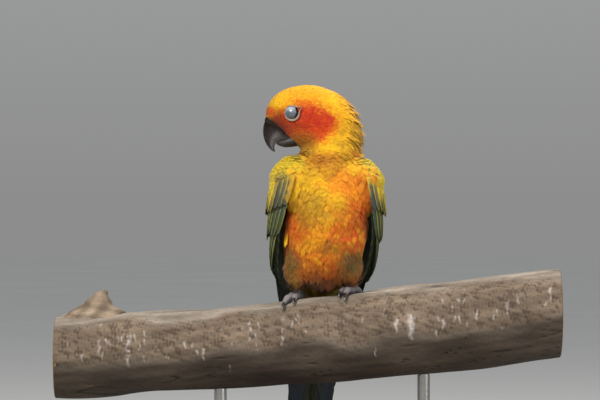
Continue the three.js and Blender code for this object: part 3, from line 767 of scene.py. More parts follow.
def plumage_colours(points, palette):
    """The colours of the feathers' bases and tips at points in the perch's frame."""
    ground = Ground(points)
    deep, tip = front_colours(ground, palette)
    head = head_share(points)

    # The back: gold, with orange on the lower back and olive towards the tail.
    back = smooth(ground.y, 4, 14) * (1 - head)
    down_tail = smooth(tail_distance(points), -6, 22)
    tip = washed(
        tip, palette,
        ("back", back),
        ("breast_orange", back * 0.35 * smooth(ground.broad, 0, 0.8)),
        ("tail_olive", down_tail))
    deep = washed(deep, palette, ("nape_olive", 0.7 * back), ("tail_dark", down_tail))

    # The head, and the shade under it at the throat and the collar.
    gold = head_colours(ground, palette)
    # The head's feather bases are darkened, partly as painted shade between the feathers.
    deep = mix(deep, gold * HEAD_BASE_SHADE, head)
    throat = ground.plain((2, 85), (15, 7), 0.6) * (1 - smooth(ground.y, -6, 6))
    collar = smooth(ground.x, 4, 14) * ground.plain((16, 94), (16, 9))
    tip = washed(
        mix(tip, gold, head), palette,
        ("chin", np.maximum(0.55 * throat, 0.6 * notch(points))),
        ("nape_olive", 0.45 * collar * (0.5 + 0.5 * ground.fine)))
    return deep, tip


def lie(points):
    """The way that the coat runs, at points in the perch's frame."""
    x, y, z = points.T
    head = head_share(points)
    fall = 0.12 + 2.6 * smooth(x, 6, 25) + 0.9 * (1 - smooth(z, 94, 108))
    over_head = np.stack([np.ones_like(x), 0.0 * x, -fall], -1)
    down = np.stack([0.10 * x / 25, 0.05 + 0.0 * y, -np.ones_like(x)], -1)
    out_tail = np.tile(BODY_TURN @ TAIL_ALONG, (len(points), 1))
    trunk = mix(down, out_tail, smooth(tail_distance(points), -12, 6))
    return unit(mix(trunk, unit(over_head), head))


# Feathers of the body.

# The form of one small feather: its rows along, their widths, its fingers at the tip, its cup,
# where the fingers part and how pointed their ends stand together.
Tuft = namedtuple("Tuft", "shares widths fingers cup ends point")


SOFT_TUFT = Tuft((0, 0.3, 0.52), (0.4, 0.9, 1), 11, 0.2, 0.52, 0.45)
HACKLE_TUFT = Tuft((0, 0.3, 0.58), (0.45, 1, 0.78), 7, 0.3, 0.58, 1.0)
FACE_TUFT = Tuft((0, 0.35, 0.5), (0.5, 1, 0.9), 5, 0.22, 0.5, 0.8)
COVERT_TUFT = Tuft((0, 0.25, 0.5, 0.72, 0.86), (0.6, 0.9, 1, 0.97, 0.84), 12, 0.24, 0.86, 0.92)
MARCH = np.array([0, 0.2, 0.4, 0.6, 0.8, 1.0])


def march(surface, roots, headings, lengths, flow, lean=0.35):
    """Lines that run over a surface from their roots: their spots, normals and headings."""
    spots, normals = surface.land(roots)
    headings = unit(across_normal(headings, normals))
    line = [(spots, normals, headings)]
    for step in np.diff(MARCH):
        spots, normals = surface.land(spots + headings * (lengths * step)[:, None])
        headings = unit(across_normal(headings + lean * (flow(spots) - headings), normals))
        line.append((spots, normals, headings))
    return [np.stack(part, axis=1) for part in zip(*line)]


def tuft_places(tuft, count, rng):
    """Where each point lies along and across its feather, with uneven ends to the fingers."""
    rows, fingers, ends = len(tuft.shares), tuft.fingers, tuft.ends
    columns = np.linspace(-1, 1, fingers + 1)
    middles = (columns[1:] + columns[:-1]) / 2
    round_end = np.sqrt(1 - 0.92 * middles ** 2)
    reach = ends + (1 - ends) * mix(round_end, 1 - np.abs(middles), np.array(tuft.point))
    reach = reach * (1 + rng.uniform(-0.09, 0.05, (count, fingers)))
    neck = ends + 0.5 * (reach - ends)
    half = 0.84 / fingers
    wander = rng.normal(0, 0.35 / fingers, (count, fingers))
    web = (count, rows * (fingers + 1))
    along = [np.broadcast_to(np.repeat(tuft.shares, fingers + 1), web), neck, neck, reach]
    across = [np.broadcast_to(np.tile(columns, rows), web), middles - half + 0.5 * wander,
              middles + half + 0.5 * wander, middles * 0.9 + wander]
    return np.clip(np.concatenate(along, 1), 0, 1), np.concatenate(across, 1)


def tuft_faces(tuft):
    """The faces of one feather: the web between its rows, then the fingers."""
    rows, fingers = len(tuft.shares), tuft.fingers
    index = np.arange(rows * (fingers + 1)).reshape(rows, fingers + 1)
    web = np.stack([index[:-1, :-1], index[:-1, 1:], index[1:, 1:], index[1:, :-1]], -1)
    low = index.size + np.arange(fingers)
    high, end = low + fingers, low + 2 * fingers
    necks = np.stack([index[-1, :-1], index[-1, 1:], high, low], -1)
    return np.concatenate([web.reshape(-1, 4), necks]), np.stack([low, high, end], -1)


def tufts(surface, roots, headings, size, tuft, colours, place, rng, flow):
    """Small feathers over a surface, each with a frayed tip. size holds arrays: length,
    width, lift of the tip, sink of the root and ruffle, which raises the tip further."""
    count = len(roots)
    spots, normals, ways = march(surface, roots, headings, size["length"], flow)
    sides = np.cross(normals, ways)
    u, v = tuft_places(tuft, count, rng)

    # Where each point lies on its feather's line, and how far it is off the line.
    at = np.clip(np.searchsorted(MARCH, u, side="right") - 1, 0, len(MARCH) - 2)
    share = ((u - MARCH[at]) / (MARCH[at + 1] - MARCH[at]))[..., None]
    which = np.arange(count)[:, None]
    spot, normal, side = (
        part[which, at] * (1 - share) + part[which, at + 1] * share
        for part in (spots, normals, sides))
    widths = np.interp(u, np.append(tuft.shares, 1.0), np.append(tuft.widths, tuft.widths[-1]))
    half = size["width"][:, None] / 2
    reach_across = half * widths * v
    height = -size["sink"][:, None] + (size["lift"] + size["sink"])[:, None] * u ** 0.8
    height = height + size["ruffle"][:, None] * u ** 2
    height = height - tuft.cup * size["width"][:, None] / 2 * v ** 2 * (0.3 + 0.7 * u)
    height = height + rng.normal(0, 0.05, (count, 1)) * reach_across
    points = spot + side * reach_across[..., None] + normal * height[..., None]

    quads, tris = tuft_faces(tuft)
    starts = (np.arange(count) * u.shape[1])[:, None, None]
    deep, tip = colours
    tone = 1 + rng.normal(0, 0.035, (count, 1, 1)) + rng.normal(0, 0.02, (count, u.shape[1], 1))
    # Each feather runs from its base's colour to its tip's. The darker bases are partly the feathers' own colour and
    # partly painted shade under the feathers that overlap them.
    colour = mix(deep[:, None], tip[:, None], smooth(u, 0.1, 0.75)) * tone
    luck = np.broadcast_to(rng.random((count, 1)), u.shape)
    around = np.stack([v, u * 2 - 1], -1) * PATCH / 2
    return Shape(points, quads[None] + starts, tris[None] + starts,
                 np.clip(colour, 0, 1).reshape(-1, 3), np.stack([v, u, luck], -1),
                 np.clip(place[:, None] + around, 0.001, 0.999))


def round_map(points, middle):
    """Map places by the turn round an upright axis and the slope from the middle."""
    away = unit(points - middle)
    turn = np.arctan2(away[:, 0], -away[:, 1]) / (2 * math.pi) + 0.5
    return np.stack([turn, np.arccos(np.clip(away[:, 2], -1, 1)) / math.pi], -1)


def trunk_map(points):
    """Map places by the turn round the trunk and the height, in the perch's frame."""
    turn = np.arctan2(points[:, 0], -points[:, 1] - 2) / (2 * math.pi) + 0.5
    return np.stack([turn, (points[:, 2] - TRUNK_LOW) / (TRUNK_HIGH - TRUNK_LOW)], -1)


# Long feathers of the wings and the tail.

LONG_WEB = [[0, 0.6], [0.3, 0.95], [0.6, 1], [0.84, 0.9], [0.95, 0.62], [0.985, 0.36], [1, 0.1]]
SHORT_WEB = [[0, 0.8], [0.45, 1], [0.75, 0.93], [0.9, 0.7], [0.97, 0.42], [1, 0.12]]
VANE_THICK = 0.24
VANE_LAP = 0.40
WING_BEND = 30

# The tiers from the wing's tip up. Feathers run from the leading edge to the back, and root
# and tip give the first and last one's [height, turn].
TIERS = {
    "primaries": {
        "count": 8, "width": 8.0, "layer": 0.2, "web": LONG_WEB,
        "root": [[25, 4], [14, 42]], "tip": [[-48, 46], [-5, 55]],
    },
    "secondaries": {
        "count": 11, "width": 8.6, "layer": 3.0, "web": LONG_WEB,
        "root": [[62, -31], [61, 60]], "tip": [[15, -3], [0, 63]],
    },
    "greater": {
        "count": 14, "width": 8.2, "layer": 5.2, "web": SHORT_WEB,
        "root": [[67, -39], [66, 58]], "tip": [[38, -29], [30, 61]],
    },
    "median": {
        "count": 14, "width": 8.2, "layer": 7.4, "web": SHORT_WEB,
        "root": [[77, -44], [76, 54]], "tip": [[55, -40], [47, 59]],
    },
}


def long_feather(middle, across, up, half, rng, columns=9, rachis=-0.12):
    """A thin closed feather through frames, crowned, with a raised shaft and a few splits."""
    levels = len(middle)
    t = np.linspace(0, 1, levels)
    v = np.linspace(-1, 1, columns)[None]
    edges = np.ones((levels, 2))
    for side in (0, 1):
        for _ in range(rng.integers(1, 4)):
            cut = rng.uniform(0.35, 0.97)
            edges[:, side] -= rng.uniform(0.10, 0.3) * np.exp(-((t - cut) / 0.02) ** 2)
        edges[:, side] += 0.025 * np.sin(t * rng.uniform(40, 70) + rng.uniform(0, 6))
    reach = np.where(v < 0, edges[:, :1], edges[:, 1:]) * v * half[:, None]
    crown = -0.10 * half[:, None] * v ** 2
    thick = VANE_THICK * (1 - 0.75 * v ** 2) * (1 - 0.5 * t[:, None] ** 3)
    shaft = 0.22 * np.exp(-((v - rachis) / 0.09) ** 2) * (1 - 0.8 * t[:, None])
    flat = middle[:, None] + across[:, None] * reach[..., None]
    top = flat + up[:, None] * (crown + thick + shaft)[..., None]
    bottom = flat + up[:, None] * crown[..., None]
    shape = loft(there_and_back(top, bottom))
    place = np.stack([np.broadcast_to(v, (levels, columns)),
                      np.broadcast_to(t[:, None], (levels, columns)),
                      np.full((levels, columns), rng.random())], -1)
    shape.vane = there_and_back(place, place).reshape(-1, 3)
    return shape


def tier_feathers(side, tier, rng):
    """One tier of a wing, each feather's back edge under the next one's front edge."""
    count, width, layer = tier["count"], tier["width"], tier["layer"]
    root, tip = np.array(tier["root"], float), np.array(tier["tip"], float)
    steps = np.linspace(0, 1, 41)
    t = np.linspace(0, 1, 34) ** 0.9

    def line(i, share):
        place = i / (count - 1)
        start, end = mix(root[0], root[1], place), mix(tip[0], tip[1], place)
        z, turn = np.moveaxis(mix(start, end, share), -1, 0)
        return z, turn, wing_point(side, z, turn, layer)

    made = []
    for i in range(count):
        own = i + rng.uniform(-0.07, 0.07)
        z, turn, point = line(own, t * rng.uniform(0.88, 1.0))
        neighbour = line(own + 1 if i < count - 1 else own - 1, steps)[2]
        along = unit(np.gradient(point, axis=0))
        outward = unit(wing_point(side, z, turn, layer + 1) - point)
        backward = wing_point(side, z, turn + 1, layer) - point
        across = unit(np.cross(along, outward))
        across = across * np.sign(dot(across, backward))[:, None]
        gaps = np.linalg.norm(point[:, None] - neighbour[None], axis=-1).min(1)
        pitch = np.maximum(gaps, 2.0)
        bulge = pitch * np.maximum(width - pitch, 0) / (2 * WING_BEND)
        across = unit(across - outward * ((VANE_LAP + bulge) / pitch)[:, None])
        up = unit(np.cross(across, along))
        up = up * np.sign(dot(up, outward))[:, None]
        web = np.moveaxis(through(tier["web"])(t), -1, 0)[0]
        feather = long_feather(point, across, up, width * web / 2, rng)
        made.append((i / (count - 1), feather))
    return made


def wing_sheet(side, table, low, high, levels, columns):
    """A curved sheet by the wing's ellipse, as rings, from one of the wing's tables."""
    z = np.linspace(low, high, levels)[:, None]
    start, end, inner, outer = along_rows(table, z)
    share = np.linspace(0, 1, columns)[None]
    turn = start + (end - start) * share
    fall = np.sqrt(1 - 0.96 * (2 * share - 1) ** 4)
    inside = wing_point(side, z, turn, inner)
    outside = wing_point(side, z, turn, inner + (outer - inner) * fall)
    return loft(there_and_back(inside, outside))


# Shader nodes.

def node(tree, kind, links=None, **settings):
    """A shader node. links give its inputs a value or another node's output."""
    made = tree.nodes.new("ShaderNode" + kind)
    for key, value in settings.items():
        setattr(made, key, value)
    for key, value in (links or {}).items():
        if isinstance(value, bpy.types.NodeSocket):
            tree.links.new(value, made.inputs[key])
        else:
            made.inputs[key].default_value = value
    return made


def math_node(tree, operation, *values):
    """The output of a Math node with these values or sockets."""
    return node(tree, "Math", dict(enumerate(values)), operation=operation).outputs[0]


def blended(tree, share, first, second, mode="MIX"):
    """The output of a colour Mix node."""
    made = node(tree, "Mix", {0: share, 6: first, 7: second}, data_type="RGBA", blend_type=mode)
    return made.outputs[2]


def spread(tree, value, low, high, to_low=0.0, to_high=1.0):
    """The value mapped from one range to another and kept inside it."""
    made = node(tree, "MapRange", {0: value, 1: low, 2: high, 3: to_low, 4: to_high})
    return made.outputs[0]


def new_group(name, inputs, outputs):
    """An empty shader group with named sockets, and its input and output nodes."""
    group = bpy.data.node_groups.new(name, "ShaderNodeTree")
    for label, kind, default in inputs:
        socket = group.interface.new_socket(label, in_out="INPUT", socket_type="NodeSocket" + kind)
        socket.default_value = default
    for label, kind in outputs:
        group.interface.new_socket(label, in_out="OUTPUT", socket_type="NodeSocket" + kind)
    return group, group.nodes.new("NodeGroupInput"), group.nodes.new("NodeGroupOutput")


def barb_group():
    """Barbs that slant off a feather's shaft: streaks of colour and a height for bump."""
    group, given, out = new_group(
        "Feather Barbs",
        [("Vane", "Vector", (0, 0, 0)), ("Color", "Color", (1, 1, 1, 1)),
         ("Barbs", "Float", 18.0), ("Strength", "Float", 0.2), ("Shaft", "Float", 0.4)],
        [("Color", "Color"), ("Height", "Float")])
    parts = node(group, "SeparateXYZ", {0: given.outputs["Vane"]})
    across = math_node(group, "ABSOLUTE", parts.outputs[0])
    slanted = math_node(group, "MULTIPLY_ADD", across, -0.35, parts.outputs[1])
    line = math_node(group, "MULTIPLY", slanted, given.outputs["Barbs"])
    luck = math_node(group, "MULTIPLY", parts.outputs[2], 37.0)
    place = node(group, "CombineXYZ", {0: line, 1: luck, 2: math_node(group, "SIGN", parts.outputs[0])})
    noise = node(group, "TexNoise", {"Vector": place.outputs[0], "Scale": 1.7, "Detail": 3.0})
    wave = math_node(group, "SINE", math_node(group, "MULTIPLY", line, 2 * math.pi))
    barbs = math_node(group, "MULTIPLY_ADD", wave, 0.22, noise.outputs[0])
    shade = spread(group, barbs, 0.3, 0.75)
    dark = math_node(group, "MULTIPLY", math_node(group, "SUBTRACT", 1.0, shade),
                     given.outputs["Strength"])
    darker = blended(group, dark, given.outputs["Color"], (0.05, 0.03, 0.01, 1))
    off_shaft = math_node(group, "ABSOLUTE", math_node(group, "ADD", parts.outputs[0], 0.12))
    shaft = math_node(group, "MULTIPLY", spread(group, off_shaft, 0.02, 0.07, 1.0, 0.0),
                      given.outputs["Shaft"])
    lined = blended(group, shaft, darker, (0.08, 0.05, 0.02, 1))
    group.links.new(lined, out.inputs["Color"])
    group.links.new(math_node(group, "ADD", shade, shaft), out.inputs["Height"])
    return group


def speckle_group():
    """Soft patches and small flecks over a surface, as two masks."""
    group, given, out = new_group(
        "Patches and Flecks",
        [("Patch Scale", "Float", 60.0), ("Fleck Scale", "Float", 900.0),
         ("Stretch", "Vector", (1, 1, 1))],
        [("Patches", "Float"), ("Flecks", "Float"), ("Height", "Float")])
    place = node(group, "TexCoord").outputs["Object"]
    stretched = node(group, "VectorMath", {0: place, 1: given.outputs["Stretch"]},
                     operation="MULTIPLY").outputs[0]
    broad = node(group, "TexNoise", {"Vector": stretched, "Scale": given.outputs["Patch Scale"],
                                     "Detail": 6.0, "Roughness": 0.62})
    fine = node(group, "TexNoise", {"Vector": stretched, "Scale": given.outputs["Fleck Scale"],
                                    "Detail": 4.0, "Roughness": 0.7})
    group.links.new(spread(group, broad.outputs[0], 0.38, 0.64), out.inputs["Patches"])
    group.links.new(spread(group, fine.outputs[0], 0.52, 0.68), out.inputs["Flecks"])
    total = math_node(group, "MULTIPLY_ADD", fine.outputs[0], 0.4, broad.outputs[0])
    group.links.new(total, out.inputs["Height"])
    return group


def shared(name, maker):
    """The shader group of that name, made on first use."""
    return bpy.data.node_groups.get(name) or maker()


def new_material(name, roughness, **constants):
    """A material with its Principled shader, whose plain values are set on its own sockets."""
    material = bpy.data.materials.new(name)
    material.use_nodes = True
    shader = material.node_tree.nodes["Principled BSDF"]
    shader.inputs["Roughness"].default_value = roughness
    for label, value in constants.items():
        shader.inputs[label.replace("_", " ")].default_value = value
    return material, material.node_tree, shader


def set_bump(tree, shader, height, distance, strength=0.6):
    """Bumps the shader's normal by a height over that many metres."""
    bump = node(tree, "Bump", {"Height": height, "Distance": distance, "Strength": strength})
    tree.links.new(bump.outputs[0], shader.inputs["Normal"])


def marking(tree):
    """The colours that the points of a piece are marked with."""
    return node(tree, "Attribute", attribute_name="Marking").outputs["Color"]


def feather_material(name, barbs, strength, shaft, roughness, sheen, bump=0.00012):
    """Feathers in their marked colours, with barbs and a shaft."""
    material, tree, shader = new_material(
        name, roughness, Sheen_Weight=sheen, Sheen_Roughness=0.45, Specular_IOR_Level=0.3)
    colour = marking(tree)
    vane = node(tree, "Attribute", attribute_name="Vane").outputs["Vector"]
    barb = node(tree, "Group", {"Vane": vane, "Color": colour, "Barbs": barbs,
                                "Strength": strength, "Shaft": shaft},
                node_tree=shared("Feather Barbs", barb_group))
    tree.links.new(barb.outputs["Color"], shader.inputs["Base Color"])
    set_bump(tree, shader, barb.outputs["Height"], bump)
    return material


def surface_material(name, light, dark, fleck, roughness, scales, bump, stretch=(1, 1, 1),
                     marked=0.0, **constants):
    """A bare surface: two colours in patches, flecks, uneven roughness and a fine bump."""
    material, tree, shader = new_material(name, roughness, **constants)
    speckle = node(tree, "Group", {"Patch Scale": scales[0], "Fleck Scale": scales[1],
                                   "Stretch": stretch},
                   node_tree=shared("Patches and Flecks", speckle_group))
    colour = blended(tree, speckle.outputs["Patches"], (*dark, 1), (*light, 1))
    flecks = math_node(tree, "MULTIPLY", speckle.outputs["Flecks"], 0.6)
    colour = blended(tree, flecks, colour, (*fleck, 1))
    if marked:
        colour = blended(tree, marked, colour, marking(tree), "MULTIPLY")
    tree.links.new(colour, shader.inputs["Base Color"])
    rough = spread(tree, speckle.outputs["Patches"], 0.0, 1.0,
                   max(roughness - 0.1, 0.05), min(roughness + 0.12, 1.0))
    tree.links.new(rough, shader.inputs["Roughness"])
    set_bump(tree, shader, speckle.outputs["Height"], bump)
    return material


# Settings.

def paint(name, description, red, green, blue):
    """A colour that a user may change."""
    return bpy.props.FloatVectorProperty(
        name=name, description=description, default=linear(red, green, blue),
        subtype="COLOR", size=3, min=0, max=1)


class PlumageSettings(bpy.types.PropertyGroup):
    """Colours and sizes of the small body feathers."""
    crown: paint("Crown", "Gold of the forehead and crown", 240, 188, 18)
    crown_orange: paint("Crown Orange", "Orange on top of the crown", 232, 146, 12)
    mask: paint("Mask", "Orange-red round the eye", 212, 72, 8)
    mask_deep: paint("Ear Patch", "Deep red behind the eye", 182, 38, 5)
    # The orange-olive under the bill is partly its own colour and partly painted shade under the bill and head.
    chin: paint("Chin", "Orange-olive under the bill", 150, 98, 16)
    nape: paint("Nape", "Yellow of the nape", 226, 166, 14)
    nape_olive: paint("Nape Shade", "Olive shade of the nape", 122, 92, 12)
    breast: paint("Breast", "Golden yellow of the breast", 228, 174, 16)
    breast_deep: paint("Breast Base", "Bases of the breast feathers", 186, 128, 12)
    breast_orange: paint("Breast Orange", "Orange of the flanks", 218, 94, 8)
    breast_red: paint("Breast Red", "Red-orange of the belly", 176, 46, 6)
    belly_olive: paint("Belly Olive", "Olive middle of the belly", 128, 96, 18)
    # The brown of the lowest belly is partly its own colour and partly painted shade under the belly. The dark
    # grey-olive between the legs is painted shade.
    vent: paint("Vent", "Brown of the lowest belly", 104, 44, 12)
    legs_dark: paint("Between the Legs", "Dark grey-olive", 62, 54, 40)
    thigh: paint("Thighs", "Olive yellow of the thighs", 112, 82, 18)
    thigh_green: paint("Thigh Green", "Grey-green patch", 62, 68, 36)
    back: paint("Back", "Yellow of the back", 232, 166, 14)
    tail_olive: paint("Tail Coverts", "Olive yellow over the tail", 134, 122, 34)
    tail_dark: paint("Tail Bases", "Dark olive", 58, 62, 40)
    coat_depth: bpy.props.FloatProperty(
        name="Coat Depth", description="How far the skin lies inside the flesh solids",
        default=0.0019, min=0.0005, max=0.004, unit="LENGTH", precision=4)
    spacing: bpy.props.FloatProperty(
        name="Feather Spacing", description="Distance of the breast feathers' roots",
        default=0.00132, min=0.001, max=0.006, unit="LENGTH", precision=4)


class WingSettings(bpy.types.PropertyGroup):
    """Colours of the wings and the tail."""
    covert: paint("Coverts", "Yellow of the small coverts", 206, 174, 18)
    covert_green: paint("Covert Green", "Green of the coverts' middles", 44, 62, 30)
    covert_blue: paint("Covert Blue", "Grey-blue of the greater coverts", 42, 57, 60)
    covert_orange: paint("Covert Orange", "Orange-yellow strip by the breast", 196, 140, 20)
    edge: paint("Feather Edges", "Yellow edges of the wing's feathers", 164, 156, 44)
    flight: paint("Flight Feathers", "Blackish blue-green", 50, 62, 58)
    flight_blue: paint("Flight Blue", "Blue of the outer webs", 38, 60, 82)
    flight_green: paint("Flight Green", "Green of the outer edges", 62, 86, 48)
    tail: paint("Tail", "Dark olive of the tail", 74, 80, 50)
    tail_blue: paint("Tail Tip", "Dull blue of the tail's tip", 38, 54, 70)


class BareSettings(bpy.types.PropertyGroup):
    """Colours of the bill, eyes and feet."""
    bill: paint("Bill", "Charcoal of the bill", 58, 53, 52)
    bill_scuff: paint("Bill Scuffs", "Pale scuffs and base of the bill", 118, 108, 102)
    cere: paint("Cere", "Grey of the cere", 102, 95, 90)
    lid: paint("Eye Ring", "Pale pinkish grey of the bare ring", 150, 130, 118)
    membrane: paint("Third Lid", "Pale blue-grey of the drawn lid", 150, 158, 166)
    iris: paint("Iris", "Dark brown of the eye", 30, 20, 14)
    toe: paint("Toes", "Grey of the toes", 124, 116, 116)
    toe_dark: paint("Toe Creases", "Dark creases between scales", 70, 62, 62)
    claw: paint("Claws", "Dark horn of the claws", 52, 46, 44)


class MountSettings(bpy.types.PropertyGroup):
    """Colours of the branch and the stand."""
    bark_light: paint("Bark Light", "Weathered grey-tan of the branch", 148, 138, 126)
    bark_dark: paint("Bark Dark", "Brown of the bark's hollows", 92, 78, 64)
    bark_rust: paint("Bark Rust", "Orange-brown flecks", 112, 86, 60)
    cut_wood: paint("Cut Wood", "Pale wood of the sawn ends", 196, 160, 112)
    base_light: paint("Base Light", "Light grain of the base", 92, 58, 36)
    base_dark: paint("Base Dark", "Dark grain of the base", 44, 27, 18)
    rod: paint("Rods", "Brushed steel of the rods", 168, 166, 162)


class StageSettings(bpy.types.PropertyGroup):
    """Camera, lights and floor."""
    distance: bpy.props.FloatProperty(
        name="Camera Distance", description="From the camera to the bird",
        default=2.0, min=0.5, max=10, unit="LENGTH")
    field: bpy.props.FloatProperty(
        name="Field Width", description="Width of the view at the bird",
        default=0.378, min=0.1, max=2, unit="LENGTH")
    key_power: bpy.props.FloatProperty(
        name="Key Light", description="Power of the main light in watts", default=38, min=0)
    fill_power: bpy.props.FloatProperty(
        name="Fill Light", description="Power of the fill light in watts", default=12, min=0)
    sky: bpy.props.FloatProperty(
        name="Room Light", description="Strength of the even light from all round",
        default=0.6, min=0)
    floor: paint("Floor", "Pale floor", 176, 176, 174)


def palette_of(settings):
    """A settings group's colours by name."""
    return {name: np.array(getattr(settings, name)) for name in settings.__annotations__
            if hasattr(getattr(settings, name), "__len__")}


def eye_middle(side):
    """The middle of an eye; side is -1 for the one that faces the viewer."""
    return np.array([EYE_X, HEAD_BACK + side * (EYE_SIDE - EYE_SINK), EYE_Z])


# The skin's surface, once it is built, for the steps that lay feathers on it.
made = {}

# The voxels' size, how far the solids swell before they join, how deep the skin lies at the
# face, and how far the shoulders' surface grows and shrinks again to fill its creases.
VOXEL = 0.9
SWELL = 0.35
FACE_DEPTH = 0.35
CREASE = 5.5

# The small feathers' size on the breast, and where the breast begins, from the bill's root.
FEATHER_LENGTH = 8.6
FEATHER_WIDTH = 3.6
BREAST_AWAY = 75

# The bare skin round an eye, as circles: [back, up, radius] and how far out they lie.
BARE_CIRCLES = ((0, 0, 5.05), (3.9, 2.3, 2.4))
BARE_OUT = 2.2
HEAD_MIDDLE = np.array([0, HEAD_BACK, 108.0])

# The loose feather's root and tip: [x, z].
LOOSE_FEATHER = ((-21.6, 46), (-26, 33))


def dense_surface(shape, rounds):
    """One closed smooth surface round solids that meet, found by voxels."""
    mesh = bpy.data.meshes.new("rough")
    mesh.from_pydata((shape.points * MM).tolist(), [], shape.tris.tolist() + shape.quads.tolist())
    rough = bpy.data.objects.new("rough", mesh)
    bpy.context.scene.collection.objects.link(rough)
    remesh = rough.modifiers.new("Remesh", "REMESH")
    remesh.mode = "VOXEL"
    remesh.voxel_size = VOXEL * MM
    relax = rough.modifiers.new("Smooth", "SMOOTH")
    relax.factor = 0.5
    relax.iterations = rounds
    seen = rough.evaluated_get(bpy.context.evaluated_depsgraph_get())
    points, tris = mesh_arrays(bpy.data.meshes.new_from_object(seen))
    bpy.data.objects.remove(rough)
    return Surface(points, tris)


def notch(points):
    """1 in the shaded fold under the throat, a wide V over the breast, and 0 elsewhere."""
    x, y, z = points.T
    fold = np.where(x < 4, 75 - (x - 4) * 0.95, 75 + (x - 4) * 0.9)
    ends = smooth(x, -13, -8) * (1 - smooth(x, 10, 15))
    return np.exp(-((z - fold) / 2.6) ** 2) * ends * (1 - smooth(y, -10, 0))


def flesh_surface(depth):
    """One closed surface over the flesh nodes and the tail's root, drawn in by the coat."""
    flesh = node_surface(*FLESH)
    cone = tail_cone()
    surface = dense_surface(merged([
        Shape(flesh.points + flesh.normals * SWELL, tris=flesh.tris),
        Shape(at_body(cone.points), cone.quads)]), 8)
    local = surface.points - PERCH_PLACE
    inset = SWELL + FACE_DEPTH + (depth - FACE_DEPTH) * smooth(bill_distance(local), 4, 55)
    inset = inset * (1 - 0.75 * smooth(tail_distance(local), 0, 28))
    trunk = (1 - head_share(local)) * (1 - smooth(local[:, 1], 0, 12))
    inset = inset + trunk * 0.7 * (0.4 + mottle(local, 11, 19)) + 1.7 * notch(local)
    return Surface(surface.points - surface.normals * inset[:, None], surface.tris)


def arm_shape(side, top=ARM_TOP):
    """The wing's arm up to a height, in the body's frame."""
    return wing_sheet(side, ARM, ARM_LOW, top, 30, 24)


def shoulder_surface():
    """The skin and both arms under one smooth surface, with the creases between them filled."""
    skin = made["skin"]
    arms = [arm_shape(side) for side in (1, -1)]
    joined = dense_surface(merged(
        [Shape(skin.points, tris=skin.tris)]
        + [Shape(at_body(arm.points), arm.quads) for arm in arms]), 6)
    grown = dense_surface(Shape(joined.points + joined.normals * CREASE, tris=joined.tris), 10)
    return Surface(grown.points - grown.normals * (CREASE - 0.2), grown.tris)


def wing_turn(own):
    """The turn of points round the wing's ellipse, from the side to the back, in degrees."""
    middle, width, depth = along_rows(WING_LINE, own[:, 2])
    return np.degrees(np.arctan2((own[:, 1] - middle) / depth, np.abs(own[:, 0]) / width))


def piece_operator(name, label, doc, work):
    """An operator that runs one building function."""
    def execute(self, context):
        work(context.scene)
        return {"FINISHED"}

    return type(f"CONURE_OT_{name}", (bpy.types.Operator,), {
        "bl_idname": f"conure.{name}", "bl_label": label, "__doc__": doc,
        "bl_options": {"REGISTER"}, "execute": execute})


def build_skin(scene):
    """The skin under the feathers, in darker shades of the same markings."""
    settings = scene.conure_plumage
    surface = flesh_surface(settings.coat_depth / MM)
    made["skin"] = surface
    deep, tip = plumage_colours(surface.points - PERCH_PLACE, palette_of(settings))
    material, tree, shader = new_material("Under Plumage", 0.85, Specular_IOR_Level=0.2)
    mark = marking(tree)
    speckle = node(tree, "Group", node_tree=shared("Patches and Flecks", speckle_group))
    flecks = math_node(tree, "MULTIPLY", speckle.outputs["Flecks"], 0.4)
    down = blended(tree, flecks, mark, (0.10, 0.06, 0.03, 1))
    tree.links.new(down, shader.inputs["Base Color"])
    set_bump(tree, shader, speckle.outputs["Height"], 0.0003)
    # The skin's colour is darkened to three quarters: painted shade under the coat.
    shape = Shape(surface.points, tris=surface.tris, colour=mix(deep, tip, 0.3) * 0.75)
    shape.place = round_map(surface.points, surface.points.mean(0))
    make_piece("skin", shape, material, "breast_plumage", FLESH)


def nape_share(points):
    """1 on the ruffled nape and 0 elsewhere, in the perch's frame."""
    x, _, z = points.T
    return smooth(x, 7, 18) * smooth(z, 88, 98) * (1 - smooth(z, 126, 134))


def coat_sizes(points, normals, rng):
    """The sizes of the small feathers at points in the perch's frame."""
    near = np.minimum(bill_distance(points), BREAST_AWAY)
    scale = 0.26 + 0.74 * smooth(near, 4, 66)
    count = len(points)
    length = FEATHER_LENGTH * scale * rng.uniform(0.75, 1.25, count)
    width = FEATHER_WIDTH * scale * rng.uniform(0.8, 1.25, count)
    lift = (0.3 + 0.7 * smooth(near, 6, 60)) * rng.uniform(0.75, 1.15, count)

    # The nape is ruffled, and so are the neck's base and what hangs at the lowest belly.
    nape = nape_share(points)
    length = length * (1 + 0.25 * nape)
    width = width * (1 - 0.05 * nape)
    ruffle = (nape * rng.uniform(-0.1, 1.0, count) ** 3 * 5.2
              + np.abs(rng.normal(0, 0.2, count)) * scale)
    head = head_share(points)
    ruff = 4 * head * (1 - head) * (1 - smooth(points[:, 1], 4, 16))
    ruffle = ruffle + ruff * rng.uniform(0.2, 1.8, count)
    hanging = smooth(-normals[:, 2], 0.15, 0.75) * (1 - smooth(points[:, 2], 12, 30))
    ruffle = ruffle + hanging * rng.uniform(0.5, 3.6, count)
    length = length * (1 + 0.35 * hanging)
    lift = lift + 0.7 * (mottle(points, 8, 16) + 0.4) * smooth(near, 40, 70)

    # The tail's coverts are longer and lie flat.
    tail = smooth(tail_distance(points), 0, 25)
    return {"length": length * (1 + 0.9 * tail), "width": width * (1 + 0.7 * tail),
            "lift": lift * (1 - 0.55 * tail), "sink": 0.25 + 0.25 * scale,
            "ruffle": ruffle * (1 - tail)}


